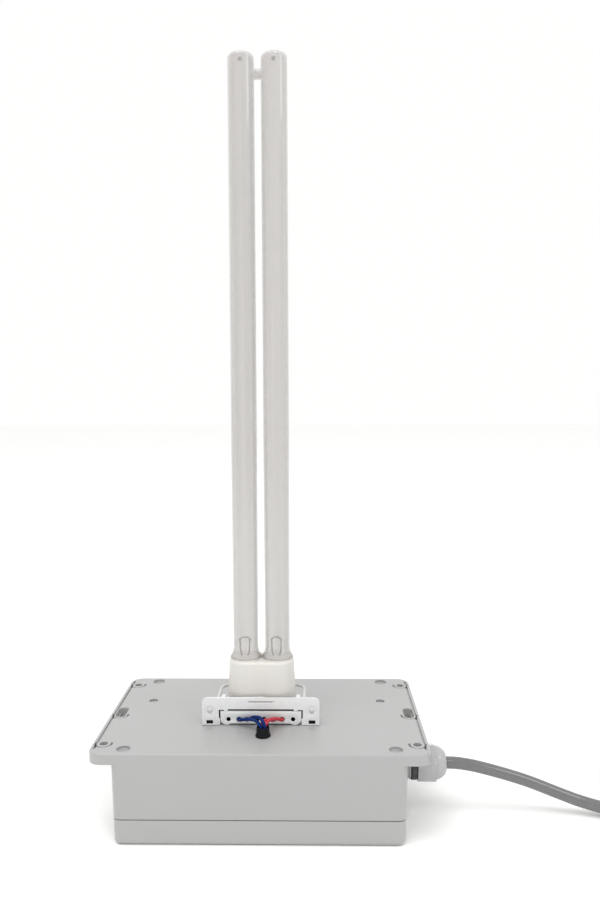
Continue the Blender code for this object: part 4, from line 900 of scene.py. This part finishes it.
def build_lamp(m):
    """Cap and glass, and for each tube its stem press, cement, rim, electrode and the spot near its tip."""
    socket_z = 80.0
    low, top = CAP_LOW.z, CAP_HIGH.z

    def draw_cap(bm):
        levels = [(low, 0.6), (low + 0.25, 0.2), (low + 0.8, 0)] + rounded_edge(top, 1.7, 6)
        loft(bm, [cap_loop(z, inset) for z, inset in levels])

    def sockets(bm):
        for side in (-1, 1):
            rod(bm, TUBE_R + GAP, (socket_z, top + 1), upright(side * TUBE_X, LAMP_Y), 72)
        for x in PINS_X:
            rod(bm, 1.48, (low - 1, 71.0), upright(x, LAMP_Y))

    cap = piece("cap_shell", draw_cap, [("DIFFERENCE", sockets)], 0.2)
    show(cap, m, "lamp", "cap_plastic", "lamp_cap")

    def bridge(bm):
        """Rod between the tubes, flared where it meets them."""
        radius, flare = 3.0, 1.6
        half = [(radius, 0.8), (radius + flare * 0.1, 1.7), (radius + flare * 0.45, 2.6),
                (radius + flare, 3.6), (0, 3.6)]
        profile = [(r, -z) for r, z in reversed(half)] + half
        turned(bm, profile, along_x(LAMP_Y, BRIDGE_Z))

    def hollow(bm):
        draw_tube_pair(bm, socket_z - 1, TIP - GLASS_T, GLASS_T)

    glass = piece("lamp_envelope", lambda bm: draw_tube_pair(bm, GLASS_LOW.z, TIP), [
        ("UNION", bridge), ("DIFFERENCE", hollow),
        ("DIFFERENCE", lambda bm: rod(bm, 2.1, (-6, 6), along_x(LAMP_Y, BRIDGE_Z)))], angle=60)
    show(glass, m, "lamp", "lamp_glass", "lamp_glass")
    stem = [(0, 80.5), (6.4, 80.5), (6.4, 82.0), (5.0, 83.6), (3.4, 85.5), (2.8, 87.0), (2.6, 88.5),
            (2.4, 89.6), (1.6, 90.3), (0, 90.3)]
    half = [(-1.5, 90.6), (-1.7, 93.4), (-2.2, 95.5), (-2.8, 98.0), (-2.95, 101.0), (-2.9, 104.0),
            (-3.5, 104.7), (-2.9, 105.2), (-1.8, 106.1), (0, 106.5)]
    lead = [(x - 0.7, z) for x, z in half + [(-x, z) for x, z in reversed(half[:-1])]]
    fill = [(0, 90.9), (7.15, 90.9), (7.15, top + 0.3), (8.7, top + 0.45), (8.6, top + 1.2), (0, top + 1.2)]
    lip = [(9.75, top - 0.2), (9.95, top - 0.2), (9.95, top + 0.5), (9.85, top + 0.8), (9.75, top + 0.5)]
    for side, word in ((-1, "left"), (1, "right")):
        axis = upright(side * TUBE_X, LAMP_Y)
        press = piece("glass_stem_" + word, lambda bm: turned(bm, stem, axis))
        show(press, m, "lamp", "lamp_glass", "lamp_stem_" + word)
        cement = piece("cement_" + word, lambda bm: turned(bm, fill, axis, 72))
        show(cement, m, "lamp", "cap_plastic", finish="cement")
        rim = piece("cap_rim_" + word, lambda bm: turned(bm, lip, axis, 72, True))
        show(rim, m, "lamp", "cap_plastic")
        spot = piece("tip_spot_" + word, lambda bm: rod(bm, 1.2, (LAMP_Y - 7.05, LAMP_Y - 6.4),
                                                        along_y(side * TUBE_X, TIP - 6.3)))
        show(spot, m, "lamp", "electrode_wire", finish="tip_deposit")
        filament = wire("filament_" + word, 0.47, [(side * TUBE_X + x, LAMP_Y, z) for x, z in lead], 0.5)
        show(filament, m, "lamp", "electrode_wire", "electrode_" + word)


# ---------------------------------------------------------------- gland, cord and plug

def draw_hexagon(bm, half_flats, x_span):
    """Hexagonal prism along the gland's axis."""
    reach = half_flats / math.cos(math.radians(30))
    place = along_x(GLAND_Y, GLAND_Z)
    loop = arc((0, 0), reach, 12, 312, 5)
    loft(bm, [[place @ Vector((x, y, z)) for x, y in loop] for z in x_span])


def build_gland(m):
    """Gland body, sealing ring, cap nut, rubber insert and locknut, from profiles along the gland's axis."""
    place = along_x(GLAND_Y, GLAND_Z)
    bore_r, stem_r, neck_r = 4.4, 7.6, 8.1
    collar_r, groove_r = 9.8, 9.1
    body = [(bore_r, 76.5), (stem_r, 76.5), (stem_r, 85.8), (9.5, 85.8), (collar_r, 86.1)]
    for groove in (87.0, 88.25, 89.5):
        body += [(collar_r, groove - 0.42), (groove_r, groove - 0.15), (groove_r, groove + 0.15),
                 (collar_r, groove + 0.42)]
    body += [(collar_r, 90.3), (9.5, 90.6), (neck_r, 90.6), (neck_r, 100.9), (bore_r, 100.9)]
    stem = piece("gland_stem", lambda bm: turned(bm, body, place, 64, True), angle=50)
    show(stem, m, "enclosure", "gland_grey", "gland_body")
    clear_r = neck_r + GAP
    seal = [(clear_r, 90.9), (9.8, 90.9), (10.1, 91.3), (10.2, 91.9), (10.2, 93.5), (10.1, 94.1), (9.8, 94.5),
            (clear_r, 94.5)]
    ring = piece("gland_ring", lambda bm: turned(bm, seal, place, 64, True), angle=60)
    show(ring, m, "enclosure", "black_rubber", "gland_seal_ring", finish="seal_rubber")
    dome = [(0, 104.9), (10.0, 104.9), (10.0, 106.3), (9.85, 107.5), (9.4, 108.9), (8.7, 110.2), (7.7, 111.4),
            (6.9, 112.2), (6.2, 112.6), (5.6, GLAND_MOUTH), (0, GLAND_MOUTH)]
    hollow = [(0, 93), (clear_r, 93), (clear_r, 105.4), (6.2, 109.4), (4.8, 111.6), (4.8, 114), (0, 114)]
    nut = piece("gland_cap_nut", lambda bm: draw_hexagon(bm, 10.4, (94.8, 106.1)), [
        ("UNION", lambda bm: turned(bm, dome, place, 64)),
        ("DIFFERENCE", lambda bm: turned(bm, hollow, place, 64))], 0.35)
    show(nut, m, "gland_cap", "gland_grey", "gland_nut")
    insert = [(3.95, 101.2), (7.6, 101.2), (7.6, 105.0), (5.8, 109.2), (4.5, 111.2), (4.5, 112.4),
              (3.95, 112.4)]
    sleeve = piece("gland_sleeve", lambda bm: turned(bm, insert, place, 48, True))
    show(sleeve, m, "enclosure", "black_rubber", "gland_insert")
    locknut = piece("gland_back_nut", lambda bm: draw_hexagon(bm, 10.5, (77.4, 82.0)),
                    [("DIFFERENCE", lambda bm: rod(bm, GLAND_HOLE_R, (76, 84), place, 48))], 0.3)
    show(locknut, m, "enclosure", "gland_grey", "gland_locknut")


def ease(part):
    """A smooth step from 0 to 1."""
    part = min(max(part, 0.0), 1.0)
    return part * part * (3 - 2 * part)


def coil_route():
    """Three turns inwards on the floor layer, then two outwards on top of them."""
    turns, steps = 5, 24
    inner = COIL_R - PITCH
    points = []
    for step in range(turns * steps + 1):
        turn = step / steps
        lap = min(turns - 1, int(turn))
        part = turn - lap
        if lap < 2:
            radius = COIL_R + PITCH - PITCH * (lap + ease((part - 0.6) / 0.4))
            rise = 0.0
        elif lap == 2:
            radius, rise = inner, ease((part - 0.36) / 0.28)
        else:
            radius, rise = inner + PITCH * (lap - 3 + ease(part / 0.4)), 1.0
        angle = 2 * math.pi * part - math.pi / 2
        points.append((COIL_X + radius * math.cos(angle), COIL_Y + radius * math.sin(angle),
                       COIL_Z + PITCH * rise))
    return points


def build_cord(m):
    """The lead falls from the gland to the floor, runs into a tied coil and ends in its plug."""
    start = (GLAND_MOUTH + GAP, GLAND_Y, GLAND_Z - 0.1)
    route = [start, (120, -22, 32.1), (129, -22, 30.7), (138, -22, 28.5), (146, -22, 26.3), (154, -22, 23.9),
             (162, -22, 21.3), (170, -22, 18.3), (178, -22.1, 15.1), (186, -22.3, 12), (194, -22.9, 9.2),
             (203, -24.2, 6.9), (213, -26.4, 5.2), (224, -29.7, 4.5), (236, -33.9, 4.3), (248, -37.7, 4.4),
             (260, -40.4, 4.55), (270, -41.7, 4.62)]
    tip = Vector((COIL_X + 50, COIL_LANE_Y, 5.3))
    route += coil_route() + [(287, -42.1, 12.0), (295, -42.1, 11.8), (303, -42.1, 10.6), (311, -42.1, 8.5),
                             (320, -42.1, 6.2), tuple(tip)]
    lead = tube("mains_lead", CORD_R, route, 2.4, 10)
    show(lead, m, "enclosure", "cord_sheath", "power_cord", "cord_coil")
    plug_parts = build_plug(m, tip)
    tie = build_tie(m)


def build_tie(m):
    """Flat tie round the coil, on its left side."""
    width, thick, slack = 3.6, 0.9, 0.15
    inner = (COIL_R - PITCH - CORD_R - slack, COIL_R + PITCH + CORD_R + slack)
    low, high = COIL_Z - CORD_R - 0.1, COIL_Z + PITCH + CORD_R + slack
    middle = ((inner[0] + inner[1]) / 2, (low + high) / 2)
    half = ((inner[1] - inner[0]) / 2, (high - low) / 2)

    def draw(bm):
        rings = []
        for depth, grow in ((-width / 2, 0), (-width / 2, thick), (width / 2, thick), (width / 2, 0)):
            loop = rounded_loop(half[0] + grow, half[1] + grow, 2.6 + grow, 6, (-middle[0], middle[1]))
            rings.append([(COIL_X + x, COIL_Y + depth, z) for x, z in loop])
        loft(bm, rings, ring=True)
        slab(bm, (COIL_X - middle[0] - 2.6, COIL_X - middle[0] + 2.6), (COIL_Y - 2.7, COIL_Y + 2.7),
             (high + 0.2, high + 2.6), 0.6)

    return show(piece("coil_tie", draw), m, "enclosure", "cable_tie")


def build_plug(m, tip):
    """Moulded plug lying on its shoulder and on the tip of its ribbed strain relief."""
    tip_r, full_r, shoulder, length = 5.0, 18.5, 48.0, 64.0
    tilt = math.atan2(full_r - tip_r, shoulder)
    place = Matrix.Translation(tip) @ Matrix.Rotation(math.pi / 2 - tilt, 4, "Y")
    profile = [(0, 0), (tip_r - 0.6, 0)]
    for step in range(3):
        s = 2.5 + 8.4 * step
        r = tip_r + 0.8 * step
        profile += [(r - 0.3, s), (r, s + 0.4), (r, s + 4.6), (r - 0.3, s + 5.0), (r - 0.8, s + 5.4),
                    (r - 0.8, s + 7.4)]
    profile += [(9.5, 28.6), (11.0, 29.8), (12.0, 31.5), (12.8, 34.5), (13.4, 38.0), (14.3, 40.8),
                (15.6, 43.0), (17.2, 45.0), (full_r - 0.4, 47.0), (full_r, shoulder), (full_r, length - 1.5),
                (full_r - 0.4, length - 0.5), (full_r - 1.4, length), (0, length)]

    def recesses(bm):
        for side in (-1, 1):
            rod(bm, 2.7, (length - 8, length + 1), place @ Matrix.Translation((0, side * PLUG_PIN_Y, 0)))
            earth = place @ Matrix.Translation((side * (full_r - 0.4), 0, 0))
            loop = [(2.6, 3.2), (-2.6, 3.2), (-2.6, -3.2), (2.6, -3.2)]
            loft(bm, [[earth @ Vector((x, y, z)) for x, y in loop] for z in (length - 12, length + 1)])

    body = piece("plug_moulding", lambda bm: turned(bm, profile, place, 72), [("DIFFERENCE", recesses)],
                 0.25, 45)
    parts = [show(body, m, "enclosure", "plug_rubber", "plug_body")]
    end = length + 19
    pin = [(0, length - 7.5), (2.4, length - 7.5), (2.4, end - 1.6), (2.1, end - 0.6), (1.5, end), (0, end)]
    for number, side in enumerate((-1, 1), start=1):
        shift = place @ Matrix.Translation((0, side * PLUG_PIN_Y, 0))
        blade = piece(f"mains_pin_{number}", lambda bm: turned(bm, pin, shift))
        parts.append(show(blade, m, "enclosure", "rivet_nickel", f"plug_pin_{number}"))
    return parts


# ---------------------------------------------------------------- inner pieces kept from the part

INNER = {
    "black_rubber": ("lid_gasket",),
    "zinc_sheet": ("ballast_base", "ballast_cover"),
    "circuit_board": ("ballast_board",),
    "ferrite": ("ballast_choke",),
    "capacitor_film": ("ballast_capacitor",),
    "white_moulding": ("ballast_terminal_in", "ballast_terminal_out", "terminal_block"),
    "screw_steel": ("ballast_screw_left", "ballast_screw_right"),
    "cord_sheath": ("cable_inlet",),
    "wire_brown": ("mains_wire_live", "ballast_wire_live"),
    "wire_blue": ("mains_wire_neutral", "ballast_wire_neutral"),
    "wire_green": ("earth_wire",),
}


def dress_inner(m):
    """Give the hidden CAD nodes a material and a small rounding."""
    for slot, names in INNER.items():
        for name in names:
            node = frame["nodes"][name]
            node.data.materials.clear()
            node.data.materials.append(m[slot])
            edges = node.modifiers.new("edges", "BEVEL")
            edges.width = 0.15 * MM
            edges.segments = 2
            edges.limit_method = "ANGLE"
            edges.angle_limit = math.radians(50)


def on_lamp_line(build, m):
    """Run a build step and move the meshes and curves it made over to the lamp's centre line."""
    before = set(bpy.data.objects)
    build(m)
    for item in set(bpy.data.objects) - before:
        item.data.transform(Matrix.Translation((LAMP_GROUP_X * MM, 0, 0)))


make_camera()
make_stage()
materials = make_materials()
build_cord(materials)
build_gland(materials)
build_box(materials)
build_outlet(materials)
for build in (build_bracket, build_holder, build_bail, build_lamp):
    on_lamp_line(build, materials)
dress_inner(materials)
